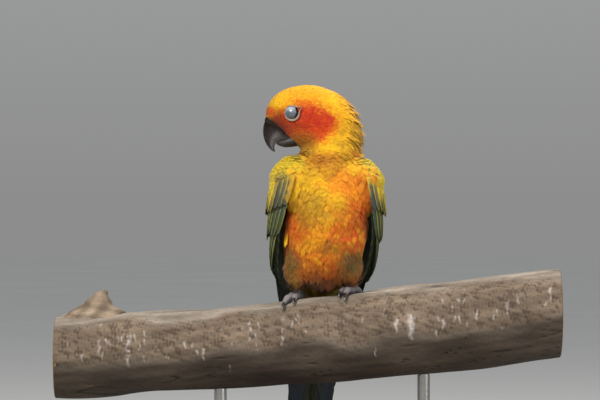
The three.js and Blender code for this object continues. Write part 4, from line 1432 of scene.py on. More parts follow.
def bare_distance(points):
    """How far points in the perch's frame are from the eyes' rings; below 0 inside them."""
    away = []
    for side in (-1, 1):
        for back, up, reach in BARE_CIRCLES:
            off = points - eye_middle(side) - [back, side * BARE_OUT, up]
            away.append(np.linalg.norm(off * [1, 0.8, 1], axis=1) - reach)
    return np.min(away, axis=0)


def under_wing(points):
    """True where the folded wings cover the trunk, for points in the perch's frame."""
    own = points @ BODY_TURN
    turn = wing_turn(own)
    return (turn > -24) & (turn < 50) & (own[:, 2] > 6) & (own[:, 2] < 80)


def coat_flow(spots):
    """The way that the coat runs, at points in the world."""
    return lie(spots - PERCH_PLACE)


def swung(ways, normals, swing):
    """Ways along a surface, each turned on it by its own swing in radians."""
    ways = unit(across_normal(ways, normals))
    return ways * np.cos(swing)[:, None] + np.cross(normals, ways) * np.sin(swing)[:, None]


def coat_roots(surface, metres, rng):
    """The roots of the coat's feathers, that many metres apart on the breast and closer on the
    face. There are none on the eye rings, under the wings or in the bill."""
    def spacing(spots):
        near = np.minimum(bill_distance(spots - PERCH_PLACE), BREAST_AWAY)
        uneven = 1 + 0.18 * mottle(spots, 3, 14)
        return (0.36 + 0.64 * smooth(near, 4, 66)) * metres / MM * uneven

    def allowed(spots):
        local = spots - PERCH_PLACE
        free = (bare_distance(local) > 0) & ~under_wing(local)
        free &= (tail_distance(local) < 46) & (local[:, 2] > 1.5 - 60 * (local[:, 1] > 12))
        return free.astype(float)

    bill = node_surface("upper_bill", "lower_bill", "cere")
    roots = surface.scatter(rng, spacing, allowed)
    clear = []
    for root in map(Vector, roots.tolist()):
        spot, normal = bill.tree.find_nearest(root)[:2]
        off = root - spot
        clear.append(off.length > 4 or off.length > 0.3 and off.dot(normal) > 0)
    return roots[np.array(clear)]


def coat_regions(points):
    """Which feathers make each piece of the coat, at points in the perch's frame."""
    on_head = head_share(points) > 0.5
    face = bill_distance(points) < 24
    nape = nape_share(points) > 0.3
    crown = points[:, 2] > 112
    trunk = ~on_head & ~(tail_distance(points) > 2)
    back = points[:, 1] > 2
    breast = points[:, 2] > 40
    return {
        "face_feathers": on_head & face,
        "crown_feathers": on_head & ~face & crown & ~nape,
        "cheek_feathers": on_head & ~face & ~crown & ~nape,
        "nape_feathers": on_head & ~face & nape,
        "tail_coverts": ~on_head & ~trunk,
        "breast_feathers": trunk & ~back & breast,
        "belly_feathers": trunk & ~back & ~breast,
        "back_feathers": trunk & back,
    }


# The form of the feathers in each piece of the coat and the slot that it fills, where they
# aren't those of the trunk.
COAT_PIECES = {
    "face_feathers": (FACE_TUFT, "head_plumage"),
    "crown_feathers": (SOFT_TUFT, "head_plumage"),
    "cheek_feathers": (SOFT_TUFT, "neck_plumage"),
    "nape_feathers": (HACKLE_TUFT, "neck_plumage"),
    "tail_coverts": (SOFT_TUFT, "tail_plumage"),
}
TRUNK_PIECE = (SOFT_TUFT, "breast_plumage")


def build_coat(scene):
    """The small feathers of the head, trunk and thighs."""
    settings = scene.conure_plumage
    surface = made["skin"]
    rng = np.random.default_rng(21)
    roots = coat_roots(surface, settings.spacing, rng)
    local = roots - PERCH_PLACE
    swing = rng.normal(0, 0.16, len(roots))
    swing = swing + 0.34 * mottle(local, 7, 15) * smooth(bill_distance(local), 20, 60)
    normals = surface.land(roots)[1]
    ways = swung(lie(local), normals, swing)
    size = coat_sizes(local, normals, rng)
    middles = local + ways * (size["length"] * 0.6)[:, None]
    deep, tip = plumage_colours(middles, palette_of(settings))
    head = head_share(local)
    material = feather_material("Body Feathers", 14.0, 0.13, 0.08, 0.85, 0.1, 0.00005)
    for name, chosen in coat_regions(local).items():
        tuft, slot = COAT_PIECES.get(name, TRUNK_PIECE)
        own = {key: value[chosen] for key, value in size.items()}
        if head[chosen].mean() > 0.5:
            place = round_map(local[chosen], HEAD_MIDDLE)
        else:
            place = trunk_map(local[chosen])
        shape = tufts(surface, roots[chosen], ways[chosen], own, tuft,
                      (deep[chosen], tip[chosen]), place, rng, coat_flow)
        make_piece(name, shape, material, slot)


def wing_stripes(side, own):
    """The shares of orange-yellow and of grey-blue that run down the front of a wing."""
    turn, z = wing_turn(own), own[:, 2]
    uneven = mottle(own, 4, 18)
    if side < 0:
        orange = (1 - smooth(turn + 3 * uneven, -47, -42)) * smooth(z + 3 * uneven, 42, 54)
        blue = (1 - orange) * (1 - smooth(turn, -25, -18)) * (1 - smooth(z, 74, 82))
    else:
        orange = (1 - smooth(turn + 2 * uneven, -50, -46)) * smooth(z, 62, 70)
        blue = (1 - orange) * (1 - smooth(turn, -38, -32)) * (1 - smooth(z, 70, 78))
    return orange, blue


def long_colours(feather, order, kind, side, colours, rng):
    """Colours a long feather by its tier and its place: webs, edges and tips."""
    v, t, _ = feather.vane.T
    front = smooth(-v, 0.5, 0.95)
    edge = smooth(np.abs(v), 0.62, 1.0) * (0.25 if side > 0 and order == 0 else 1.0)
    orange, blue = wing_stripes(side, feather.points)
    cool = mix(colours["covert_green"], colours["covert_blue"],
               smooth(feather.points[:, 2], 44, 60))
    streaks = mottle(feather.points * [1, 1, 0.35], 1.6, 20)
    strip = mix(colours["covert_orange"], colours["covert_green"],
                0.55 * smooth(streaks + mottle(feather.points, 4, 22), 0, 1.2))
    if kind == "primaries":
        base = washed(
            colours["flight"], colours,
            ("flight_blue", 0.6 * smooth(t, 0.3, 0.9)),
            ("flight_green", 0.75 * front * (1 - smooth(t, 0.7, 1))))
    elif kind == "secondaries":
        base = washed(
            colours["flight"], colours,
            ("flight_green", 0.3 + 0.5 * front),
            ("edge", 0.6 * front * (1 - 0.4 * order)))
    elif kind == "greater":
        base = washed(
            colours["covert_green"], colours,
            ("covert_blue", 0.5 * (1 - order) * (1 - t)),
            ("edge", np.clip((0.8 - 0.35 * smooth(t, 0.6, 1)) * edge, 0, 1)))
        base = mix(base, cool, 0.85 * blue * (1 - 0.6 * edge))
        base = mix(base, strip, 0.9 * orange)
    else:
        yellow = 0.9 - 0.8 * smooth(t + 0.15 * rng.normal(), 0.3, 0.8) + 0.5 * edge
        base = washed(colours["covert_green"], colours, ("covert", np.clip(yellow, 0, 1)))
        base = mix(base, cool, 0.9 * blue * (1 - 0.6 * edge) * smooth(t, 0, 0.25))
        base = mix(base, strip, 0.9 * orange)
    feather.colour = np.clip(base * (1 + rng.normal(0, 0.06) + 0.16 * streaks[:, None]), 0, 1)
    return feather


def wing_core(side, surface, colours):
    """The arm and the hand under the feathers, marked like the webs that lie over them."""
    arm = arm_shape(side, CORE_TOP)
    outside = at_body(arm.points)
    spots, normals = surface.land(outside)
    above = np.maximum(dot(outside - spots, normals) + CORE_UNDER, 0)
    arm.points = arm.points - normals @ BODY_TURN * above[:, None]
    # The arm is a darkened covert yellow: painted shade under the small coverts.
    arm.colour = np.tile(colours["covert"] * 0.4, (len(arm.points), 1))
    hand = wing_sheet(side, HAND, HAND_LOW, HAND_TOP, 60, 120)
    web = (wing_turn(hand.points) + 0.16 * hand.points[:, 2]) / 4.6
    across = 2 * np.abs(web % 1 - 0.5)
    base = washed(
        colours["flight"], colours,
        ("flight_green", smooth(across, 0.2, 0.8) * 0.6),
        ("edge", 0.32 * smooth(across, 0.82, 0.97)))
    hand.colour = base * (0.85 + 0.3 * across)[:, None]
    return merged([arm, hand])


def covert_roots(side, surface, spacing, rng):
    """The roots of one wing's small coverts: over its arm, above the median coverts."""
    arm = arm_shape(side)
    halves = np.concatenate([arm.quads[:, :3], arm.quads[:, [0, 2, 3]]])
    whole_arm = Surface(at_body(arm.points), halves)
    front = -44 if side < 0 else -38

    def allowed(spots):
        own = in_body(spots)
        high, turn = own[:, 2], wing_turn(own)
        middle = WING_LINE(high)[:, 0]
        away = np.stack([own[:, 0], own[:, 1] - middle, 0 * middle], -1) @ BODY_TURN.T
        facing = dot(unit(away), surface.land(spots)[1])
        gap = np.linalg.norm(whole_arm.land(spots)[0] - spots, axis=1)
        near = (own[:, 0] * side > 0) & (gap < 2.6) & (turn > front)
        near &= high > 61.5 - 4 * smooth(turn, -26, -12) + 3 * mottle(spots, 4, 17)
        return (near & (high < 90.3) & ((facing > 0) | (high > 82))).astype(float)

    return surface.scatter(rng, spacing, allowed)


def small_coverts(label, side, surface, colours, material):
    """The scale-like coverts of one wing's arm, over the surface of the shoulders."""
    def spacing(spots):
        return 1.35 + 1.2 * (1 - smooth(in_body(spots)[:, 2], 66, 90))

    def flow(spots):
        return np.tile(unit(np.array([0.10 * side, 0.14, -1.0]) @ BODY_TURN.T), (len(spots), 1))

    rng = np.random.default_rng(50 + side)
    roots = covert_roots(side, surface, spacing, rng)
    own = in_body(roots)
    high, turn = own[:, 2], wing_turn(own)
    gap = spacing(roots)
    count = len(roots)
    size = {"length": 3.7 * gap * rng.uniform(0.9, 1.2, count),
            "width": 2.15 * gap * rng.uniform(0.9, 1.15, count),
            "lift": rng.uniform(0.5, 0.95, count) * (1 - 0.6 * smooth(high, 84, 90)),
            "sink": 0.3 + 1.1 * smooth(high, 84, 88),
            "ruffle": rng.uniform(-0.1, 0.35, count) * (1 - smooth(high, 84, 90))}
    low = 1 - smooth(high, 64, 78)
    orange, blue = wing_stripes(side, own - [0, 0, 3])
    green = 0.5 * low * rng.random(count) + 0.4 * smooth(turn, 30, 60) * low
    tip = washed(
        colours["covert"], colours,
        ("covert_green", np.clip(green, 0, 1)),
        ("covert_blue", 0.8 * blue),
        ("covert_orange", 0.7 * orange))
    deep = mix(colours["covert"] * 0.6, colours["covert_green"], 0.4 + 0.4 * low)
    place = np.stack([0.5 + np.radians(turn) / 4, (high - 50) / 50], -1)
    shape = tufts(surface, roots, flow(roots), size, COVERT_TUFT, (deep, tip), place, rng, flow)
    make_piece(f"{label}_small_coverts", shape, material, "wing_plumage")


def shoulder_feathers(surface, palette, material):
    """Breast and neck feathers that lie over the front edges and tops of the wings."""
    def allowed(spots):
        own = in_body(spots)
        turn, high, out = wing_turn(own), own[:, 2], np.abs(own[:, 0])
        left = own[:, 0] > 0
        rim = np.where(left, -40, -46) + 0.5 * np.maximum(high - 76, 0)
        front = (turn < rim + 4) & (turn > -80) & (high > 60) & (high < 86)
        over = (high > 84) & (high < np.where(left, 96, 90)) & (out < 19)
        return ((front | over) & (out > 7)).astype(float)

    rng = np.random.default_rng(52)
    roots = surface.scatter(rng, lambda spots: np.full(len(spots), 1.6), allowed)
    local = roots - PERCH_PLACE
    count = len(roots)
    swing = rng.normal(0, 0.16, count) + 0.3 * mottle(local, 7, 15)
    outward = np.stack([0.25 * np.sign(local[:, 0]), 0 * swing, 0 * swing], -1)
    ways = swung(lie(local) + outward, surface.land(roots)[1], swing)
    top = smooth(local[:, 2], 82, 89)
    scale = 1 - 0.35 * top
    size = {"length": rng.uniform(7.5, 11.5, count) * scale,
            "width": rng.uniform(3.2, 4.8, count) * scale,
            "lift": rng.uniform(0.7, 1.7, count) * (1 - 0.5 * top),
            "sink": 0.5 + 0.8 * top,
            "ruffle": np.abs(rng.normal(0, 0.3, count)) * scale}

    # The colours come from further in on the breast.
    inward = np.ones((count, 3))
    inward[:, 0] = np.where(local[:, 0] > 0, 0.96, 0.72)
    deep, tip = plumage_colours(local * inward + ways * 5, palette)
    high = smooth(local[:, 2], 80, 86) * smooth(np.abs(local[:, 0]), 8, 14)
    tip = washed(tip, palette, ("breast", 0.8 * high))
    shape = tufts(surface, roots, ways, size, SOFT_TUFT, (deep, tip), trunk_map(local), rng,
                  coat_flow)
    make_piece("shoulder_feathers", shape, material, "breast_plumage")


def loose_feather(palette, material):
    """The one loose feather that hangs over the right flank."""
    skin = made["skin"]
    start, end = (np.array([x, -100.0, z + PERCH_PLACE[2]]) for x, z in LOOSE_FEATHER)
    root = np.array([skin.tree.ray_cast(Vector(start), Vector((0, 1, 0)))[0]])
    size = {"length": 13.8, "width": 5.0, "lift": 2.6, "sink": 0.3, "ruffle": 0.5}
    size = {key: np.array([value]) for key, value in size.items()}
    way = unit(end - start)[None]
    colours = (palette["breast_orange"][None], palette["breast"][None])
    shape = tufts(skin, root, way, size, COVERT_TUFT, colours, trunk_map(root - PERCH_PLACE),
                  np.random.default_rng(53), lambda spots: np.repeat(way, len(spots), 0))
    make_piece("loose_flank_feather", shape, material, "breast_plumage")


def build_wings(scene):
    """Both folded wings: flight feathers and coverts in tiers, small coverts on the arm."""
    colours = palette_of(scene.conure_wings)
    flight = feather_material("Flight Feathers", 60.0, 0.22, 0.5, 0.55, 0.04, 0.00008)
    small = feather_material("Covert Feathers", 20.0, 0.2, 0.25, 0.7, 0.05)
    surface = shoulder_surface()
    for seed, (label, side) in enumerate((("left", 1), ("right", -1))):
        rng = np.random.default_rng(40 + seed)
        shapes = [wing_core(side, surface, colours)]
        for kind, tier in TIERS.items():
            for order, feather in tier_feathers(side, tier, rng):
                shapes.append(long_colours(feather, order, kind, side, colours, rng))
        whole = merged(shapes)
        local = whole.points
        whole.place = np.stack([0.5 + side * np.arctan2(local[:, 1], side * local[:, 0]) / 6.4,
                                (local[:, 2] + 52) / 150], -1)
        whole.points = at_body(local)
        make_piece(f"{label}_wing_feathers", whole, flight, "wing_plumage", [f"{label}_wing"])
        small_coverts(label, side, surface, colours, small)
    palette = palette_of(scene.conure_plumage)
    body = bpy.data.materials["Body Feathers"]
    shoulder_feathers(surface, palette, body)
    loose_feather(palette, body)


def tail_feather(side, order, rng, colours):
    """One tail feather, in the world; the order counts from the middle of the tail outwards."""
    share = order / (TAIL_FEATHERS - 1)
    length = TAIL_LENGTH * (1 - 0.45 * share ** 0.9)
    t = np.linspace(0, 1, 46) ** 0.95
    if order:
        layer = order + 1
        out = side * (TAIL_WEB / 2 + 0.3 + 0.5 * (order - 1)) + side * (1.6 * share * t)
    else:
        layer = int(side < 0)
        out = side * TAIL_MIDDLE_OUT
    middle = tail_point(8 + (length - 8) * t, out, 1.6 - layer * TAIL_STEP - 0.5 * t ** 2)
    across = np.tile([1.0, 0, 0], (len(t), 1))
    up = np.tile(TAIL_UP, (len(t), 1))
    web = through(LONG_WEB)(t)[:, 0]
    feather = long_feather(middle, across, up, TAIL_WEB * web / 2, rng, 11,
                           rachis=-0.25 * side if order else 0)
    v, far, _ = feather.vane.T
    base = washed(
        colours["tail"], colours,
        ("tail_blue", smooth(far, 0.62, 0.95)),
        ("edge", 0.35 * smooth(side * v, 0.6, 1.0) * (1 - far), 0.5),
        ("flight", 0.5 * smooth(-side * v, 0.0, 0.9)))
    feather.colour = np.clip(base * (1 + rng.normal(0, 0.06)), 0, 1)
    feather.points = at_body(feather.points)
    return feather


def build_tail(scene):
    """Twelve tail feathers, the middle ones longest and on top."""
    colours = palette_of(scene.conure_wings)
    rng = np.random.default_rng(60)
    material = feather_material("Tail Feathers", 90.0, 0.2, 0.5, 0.5, 0.05, 0.00008)
    whole = merged([tail_feather(side, order, rng, colours)
                    for side in (-1, 1) for order in range(TAIL_FEATHERS)])
    local = in_body(whole.points) - TAIL_ROOT
    whole.place = np.stack([0.5 + local[:, 0] / 60, dot(local, TAIL_ALONG) / 150], -1)
    make_piece("tail_feathers", whole, material, "tail_plumage", ["tail"])


def bill_rings(steps, turn):
    """Rings of the upper bill at steps along it, in the perch's frame."""
    cx, cz, ex, ez, width = along_rows(UPPER_BILL, steps)
    culmen = np.stack([cx, 0 * cx, cz], -1)
    edge = np.stack([ex, 0 * ex, ez], -1)
    middle = (culmen + edge) / 2
    reach = culmen - middle
    long = np.linalg.norm(reach, axis=1, keepdims=True)
    flat = np.where(np.cos(turn) < 0, 0.72, 1.0)
    wide = np.sign(np.sin(turn)) * np.abs(np.sin(turn)) ** flat
    length = long[:, :, None] * np.cos(turn)[None, :, None]
    points = middle[:, None] + (reach / long)[:, None] * length

    # The share of the width is taken twice, so both halves of a ring lie on the far side of the
    # bill. This is a known fault.
    points[..., 1] += HEAD_BACK + wide[None] * (wide[None] * width[:, None])
    return points


def upper_bill_horn():
    """The upper bill's horn, with growth lines and a paler root."""
    steps = np.linspace(0, 8, 90)
    rings = bill_rings(steps, round_turns(BILL_SIDES))
    growth = 0.035 * np.sin(steps * 9) + 0.02 * np.sin(steps * 31 + 1)
    outward = unit(rings - rings.mean(1, keepdims=True))
    horn = loft(at_perch(rings + outward * growth[:, None, None] * (steps < 7)[:, None, None]))
    shade = mix(np.ones(3), np.array([1.5, 1.42, 1.36]), 1 - smooth(steps, 1.2, 3.4))
    horn.colour = np.repeat(shade, BILL_SIDES, axis=0)
    return horn


def lower_bill_horn():
    """The lower bill's horn, which stands higher towards its root than the solid does."""
    x = np.linspace(-28.8, -12.5, 40)
    top, bottom, width = along_rows(LOWER_BILL, x)
    top = top + 1.3 * smooth(x, -25, -20)
    turn = round_turns(40)
    rings = np.stack([
        np.repeat(x[:, None], 40, 1),
        HEAD_BACK + np.cos(turn)[None] * width[:, None],
        (top + bottom)[:, None] / 2 + np.sin(turn)[None] * (top - bottom)[:, None] / 2], -1)
    horn = loft(at_perch(rings))
    # The lower bill is painted at 0.4 of the horn's colour: painted shade under the upper bill.
    horn.colour = np.full((len(horn.points), 3), 0.4)
    return horn


def cere_skin():
    """The cere over the bill's root, raised round each nostril and dark in it."""
    turns = np.radians(np.linspace(-CERE_TURN, CERE_TURN, 80))
    share = np.linspace(0, 1, 36)[:, None]
    steps = share * (2.35 - 0.75 * (np.abs(turns)[None] / math.radians(CERE_TURN)) ** 1.5)
    under = np.stack([bill_rings(steps[:, k], turns[k:k + 1])[:, 0] for k in range(80)], 1)
    away = unit(under - np.array([-24.0, HEAD_BACK, 108.0]))
    edge = (1 - smooth(share, 0.86, 1.0)) * (1 - smooth(np.abs(turns)[None], 1.5, 1.95))
    raised = 0.62 * edge
    dark = np.ones(under.shape[:2])
    for side in (-1, 1):
        nostril = np.array([-33.0, HEAD_BACK + side * 5.3, 111.9])
        far = np.linalg.norm((under - nostril) * [1, 0.6, 1], axis=-1)
        raised = raised + 0.35 * np.exp(-((far - 1.35) / 0.5) ** 2) * edge
        raised = raised - 1.3 * np.exp(-(far / 0.72) ** 2)
        # Each nostril is darkened: painted shade inside it.
        dark = dark * (1 - 0.93 * np.exp(-(far / 0.7) ** 4))
    outer = under + away * raised[..., None]
    inner = under - away * 0.5
    cere = loft(at_perch(there_and_back(inner, outer)))
    cere.colour = same_shade(there_and_back(np.ones_like(dark), dark))
    return cere


def build_bill(scene):
    """The upper and lower bill and the cere."""
    colours = palette_of(scene.conure_bare)
    bill, cere = colours["bill"], colours["cere"]
    horn = surface_material("Bill Horn", bill, bill * 0.55, colours["bill_scuff"], 0.6,
                            (110, 1500), 0.00012, (1, 1, 2.2), marked=1.0)
    skin = surface_material("Cere Skin", cere, cere * 0.7, cere * 1.25, 0.55,
                            (300, 2500), 0.0001, marked=1.0)
    make_piece("upper_bill_horn", upper_bill_horn(), horn, "bill", ["upper_bill"])
    make_piece("lower_bill_horn", lower_bill_horn(), horn, "bill", ["lower_bill"])
    make_piece("cere_skin", cere_skin(), skin, "cere_skin", ["cere"])


def eyeball(side, colours):
    """An eye: dark iris with a darker pupil and rim."""
    slope = np.linspace(0.0, math.pi, 40)[:, None]
    turn = round_turns(EYE_SIDES)[None]
    ways = (np.array([0, side, 0.0]) * np.cos(slope)[..., None]
            + np.array([1.0, 0, 0]) * (np.sin(slope) * np.cos(turn))[..., None]
            + EYE_UP * (np.sin(slope) * np.sin(turn))[..., None])
    eye = loft(at_perch(eye_middle(side) + ways * EYE_RADIUS))
    off_axis = np.repeat(slope, EYE_SIDES, axis=1).reshape(-1)
    iris = mix(colours["iris"], np.array([0.002, 0.002, 0.002]), 1 - smooth(off_axis, 0.32, 0.36))
    eye.colour = mix(iris, np.array([0.004, 0.003, 0.003]), smooth(off_axis, 0.72, 0.8))
    return eye


def third_lid(side):
    """The third lid: a thin cap drawn from the front of the eye towards its rear edge."""
    across = np.linspace(-1, 1, 60)[None]
    rise = np.linspace(-0.97, 0.97, 40)[:, None] * math.pi / 2
    free_edge = 0.44 - 0.14 * np.sin(rise) ** 2 + 0.14 * np.sin(rise)
    bearing = LID_FRONT + (free_edge - LID_FRONT) * (across + 1) / 2
    way = np.stack([np.sin(bearing) * np.cos(rise), side * np.cos(bearing) * np.cos(rise),
                    np.sin(rise) + 0 * bearing], -1)
    thick = 0.34 + 0.16 * np.exp(-((across - 1) / 0.06) ** 2)
    outer = eye_middle(side) + way * (EYE_RADIUS + 0.12 + thick)[..., None]
    inner = eye_middle(side) + way * (EYE_RADIUS + 0.05)
    lid = loft(at_perch(there_and_back(inner, outer)))
    # The lid is painted dark below, with a highlight near the top, and darker along its free edge: painted light and
    # shade.
    tints = LID_LIGHT_AND_SHADE(np.sin(rise) + 0 * across)
    tints = tints * (1 - 0.4 * np.exp(-((across - 0.95) / 0.05) ** 2))[..., None]
    lid.colour = there_and_back(tints, tints).reshape(-1, 3)
    return lid


def eye_ring(side):
    """The bare ring, drawn to a point at its upper rear, with fine radial wrinkles."""
    turn = round_turns(RING_STEPS)
    corner = np.exp(-((turn - math.radians(32)) / 0.24) ** 2)
    radius = LID_RING + 0.1 + 2.2 * corner
    outward = np.array([-math.sin(CHEEK_TURN), side * math.cos(CHEEK_TURN), 0])
    level = np.array([math.cos(CHEEK_TURN), side * math.sin(CHEEK_TURN), 0])
    centre = np.array([EYE_X, HEAD_BACK + side * (EYE_SIDE + 0.05), EYE_Z])
    radial = level * np.cos(turn)[:, None] + EYE_UP * np.sin(turn)[:, None]
    section = round_turns(RING_SIDES)
    wrinkle = 1 + 0.025 * np.sin(turn * 31) + 0.02 * np.sin(turn * 47 + 1)
    thick = ((0.55 - 0.08 * np.sin(turn)) * wrinkle * (1 - 0.35 * corner))[:, None]
    out = radius[:, None] + thick * 1.15 * np.cos(section)[None]
    over = thick * 0.6 * np.sin(section)[None] - 0.4 * corner[:, None]
    rings = centre + radial[:, None] * out[..., None] + outward * over[..., None]

    # The last ring of faces joins up with the first.
    whole = loft(at_perch(np.concatenate([rings, rings[:1]], axis=0)), closed=False)
    count = RING_STEPS * RING_SIDES
    ring = Shape(whole.points[:count], np.where(whole.quads >= count, whole.quads - count, whole.quads))
    # The ring is painted darker on its inner edge against the eye, as painted shade, and lighter towards its lower
    # front than its upper rear, as painted light and shade.
    inner_edge_shade = 0.6 + 0.4 * smooth(np.cos(section), -0.9, 0.2)
    lit = 0.72 + 0.28 * smooth(-np.sin(turn + 0.5), -0.6, 0.6)
    ring.colour = same_shade(lit[:, None] * inner_edge_shade)
    return ring


def build_eyes(scene):
    """Both eyes with the pale third lid drawn nearly shut, in bare wrinkled rings."""
    colours = palette_of(scene.conure_bare)
    ball, tree, shader = new_material("Eyeball", 0.08, Coat_Weight=0.6, Coat_Roughness=0.03)
    tree.links.new(marking(tree), shader.inputs["Base Color"])
    pale, bare = colours["membrane"], colours["lid"]
    lid = surface_material("Third Lid", pale, pale * 0.72, pale * 0.9, 0.24, (420, 1600), 0.00003,
                           (1, 1, 0.35), marked=1.0, Coat_Weight=0.7, Coat_Roughness=0.06)
    ring = surface_material("Eye Ring Skin", bare, bare * 0.72, bare * 0.5, 0.55, (500, 3000),
                            0.00006, marked=1.0)
    for label, side in (("left", -1), ("right", 1)):
        make_piece(f"{label}_eyeball", eyeball(side, colours), ball, "eye", [f"{label}_eye"])
        make_piece(f"{label}_third_lid", third_lid(side), lid, "eyelid_skin", [f"{label}_eyelids"])
        make_piece(f"{label}_eye_ring", eye_ring(side), ring, "eyelid_skin")


def scute_share(share):
    """0 in the creases between a toe's scales and 1 at their middles, by the share along it."""
    return 1 - 2 * np.abs((share * SCUTES) % 1 - 0.5)


def toe(at, to, reach):
    """One scaled toe, from the shank's place along the branch to its own and round it."""
    steps = np.linspace(0, 1, len(TOE_RADII))
    radii = np.array(TOE_RADII)
    line = perch_point(at + (to - at) * steps ** 0.8, np.radians(reach) * steps,
                       radii * 0.82 + 1.1 * np.sin(steps * math.pi))
    t = np.linspace(0, 1, 84)
    width = through(np.c_[steps, radii])

    def radius(share, turn):
        pad = 0.06 * np.sin(share * 9.5) * (np.sin(turn) < -0.3)
        rough = np.where(np.sin(turn) > -0.35, 0.11 * np.sqrt(scute_share(share) + 1e-9) - 0.05, pad)
        rough = rough + 0.02 * np.sin(turn * 9 + share * 60)
        return width(share[:, 0])[..., 0][:, None] * (0.97 + rough)

    shape = tube(through(np.c_[steps, line])(t), radius, TOE_SIDES)
    # The toe is painted darker in the creases between its scales: painted shade.
    crease = scute_share(np.repeat(t, TOE_SIDES))
    shape.colour = same_shade(0.5 + 0.5 * smooth(crease, 0.0, 0.35))
    return shape


def claw(at, to, reach, far):
    """One claw, from the end of its toe round the branch."""
    steps = np.linspace(0, 1, len(CLAW_RADII))
    turn = np.radians(reach + np.sign(reach) * 0.4 + (far - reach) * steps)
    lift = 1.25 + 1.9 * np.sin(steps * math.pi * 0.8) - 0.6 * steps
    line = perch_point(to + 0.6 * steps * np.sign(to - at), turn, lift)
    thick = through(np.c_[steps, CLAW_RADII])

    def radius(share, turn):
        return thick(share[:, 0])[..., 0][:, None] * (1 + 0.04 * np.sin(turn * 3))

    shape = tube(through(np.c_[steps, line])(np.linspace(0, 1, 26)), radius, 18)
    shape.points = at_perch(shape.points)
    return shape


def shank(at):
    """The scaled shank from the branch up into the thigh."""
    low = perch_point(at, np.array(0.0), 2.4) + [0, 0.6, 0]
    high = perch_point(at, np.array(0.0), SHANK) + [0, 5, 0]
    path = low + (high - low) * np.linspace(0, 1, 30)[:, None]
    shape = tube(path, lambda s, turn: 2.8 - 0.3 * s + 0.12 * np.sin(s * 40) + 0 * turn, 24)
    shape.colour = np.full((len(shape.points), 3), 0.8)
    return shape


def build_feet(scene):
    """Scaled toes, two to the front and two to the rear, with their claws."""
    colours = palette_of(scene.conure_bare)
    skin, horn = colours["toe"], colours["claw"]
    toe_skin = surface_material("Toe Skin", skin, skin * 0.62, colours["toe_dark"], 0.62,
                                (260, 1800), 0.00012, marked=1.0)
    claw_horn = surface_material("Claw Horn", horn, horn * 0.5, horn * 1.8, 0.3, (200, 1500),
                                 0.00004, (1, 1, 0.4), Coat_Weight=0.25, Coat_Roughness=0.15)
    for label, (at, toes) in FEET.items():
        for name, (to, reach, far) in toes.items():
            make_piece(f"{label}_{name}_claw", claw(at, to, reach, far), claw_horn, "claw",
                       [f"{label}_claw_{name}"])
        foot = merged([toe(at, to, reach) for to, reach, _ in toes.values()] + [shank(at)])
        foot.points = at_perch(foot.points)
        make_piece(f"{label}_foot_scales", foot, toe_skin, "foot_skin", [f"{label}_foot"])


# Old droppings down the front of the branch: [place along it, middle in degrees, length, width].
DROPPINGS = [
    [-139, 72, 12, 0.9], [-121, 84, 17, 1.3], [-74, 92, 10, 0.7], [-45, 66, 13, 0.9],
    [-25, 88, 8, 0.8], [46, 86, 9, 1.1], [55, 88, 17, 2.0], [75, 80, 8, 0.9],
    [96, 78, 9, 0.8], [115, 68, 9, 1.1], [142, 58, 11, 0.9],
]


def droppings(x, degrees, fine, crumb):
    """How white the bark is with old droppings, in short streaks that run down it."""
    rng = np.random.default_rng(77)
    small = np.c_[rng.uniform(-160, 146, 60), rng.normal(72, 13, 60), rng.uniform(1.5, 6, 60),
                  rng.uniform(0.3, 0.7, 60)]
    white = np.zeros(degrees.shape)
    for at, middle, length, width in DROPPINGS + small.tolist():
        radius = PERCH_LINE(np.array(float(at)))[1]
        down = (degrees - middle) / 180 * math.pi * radius
        sideways = x - at + 0.5 * np.sin(down * 0.9 + at)
        narrow = 1 - 0.5 * smooth(down, -length / 2, length / 2)
        streak = np.exp(-(sideways / (width * narrow)) ** 2)
        ends = smooth(down, -length / 2 - 1, -length / 2 + 1)
        ends = ends * (1 - smooth(down, length / 4, length / 2))
        rough = np.clip(0.75 + 0.5 * fine + 0.3 * crumb, 0, 1)
        white = np.maximum(white, streak * ends * rough)
    return white


def bark_marks(x, turn, place):
    """The bark's heights and tints at places round the branch, with old droppings."""
    def pattern(stretch, size, seed):
        return mottle(place.reshape(-1, 3) * stretch, size, seed).reshape(place.shape[:2])

    along = np.array([0.12, 1, 1])
    broad = pattern(1, 26, 71)
    grain = pattern(along, 2.4, 72)
    crumb = pattern(1, 2.8, 73)
    fine = pattern(1, 1.3, 74)
    crack = np.exp(-(pattern(along, 5, 75) / 0.07) ** 2) * smooth(broad, -0.4, 0.4)
    degrees = np.degrees(np.where(turn > math.pi * 1.4, turn - 2 * math.pi, turn)) + 9 * broad
    crumbly = smooth(degrees, 22, 44) * (1 - smooth(degrees, 84, 104))
    # The lower front and the underside are painted nearly black: painted shade under the branch.
    dark = smooth(degrees, 76, 106)
    height = 0.3 * broad + 0.16 * grain + crumbly * (0.4 * crumb + 0.28 * fine) - 0.7 * crack
    # The bark is darker along its cracks: painted shade in them.
    grey = (0.9 + 0.12 * broad + 0.14 * grain + 0.07 * fine - 0.5 * crack)[..., None]
    rust = smooth(fine + 0.5 * crumb, 0.5, 1.3) * crumbly * smooth(broad, -0.6, 0.5)
    # The crumbly band is darker where it sinks in: painted shade.
    hollow_shade = smooth(-crumb - 0.5 * fine, 0.3, 1) * crumbly
    tint = mix(grey * np.ones(3), np.array([0.58, 0.49, 0.41]) * grey, 0.85 * crumbly)
    tint = mix(tint, np.array([0.8, 0.6, 0.42]), 0.3 * rust)
    tint = mix(tint, np.array([0.2, 0.16, 0.13]), 0.65 * hollow_shade)
    tint = mix(tint, np.array([0.15, 0.12, 0.10]) * grey, 0.92 * dark)
    white = droppings(x, degrees, fine, crumb)
    return height + 0.25 * white, mix(tint, np.array([1.5, 1.62, 1.85]), 0.85 * white)


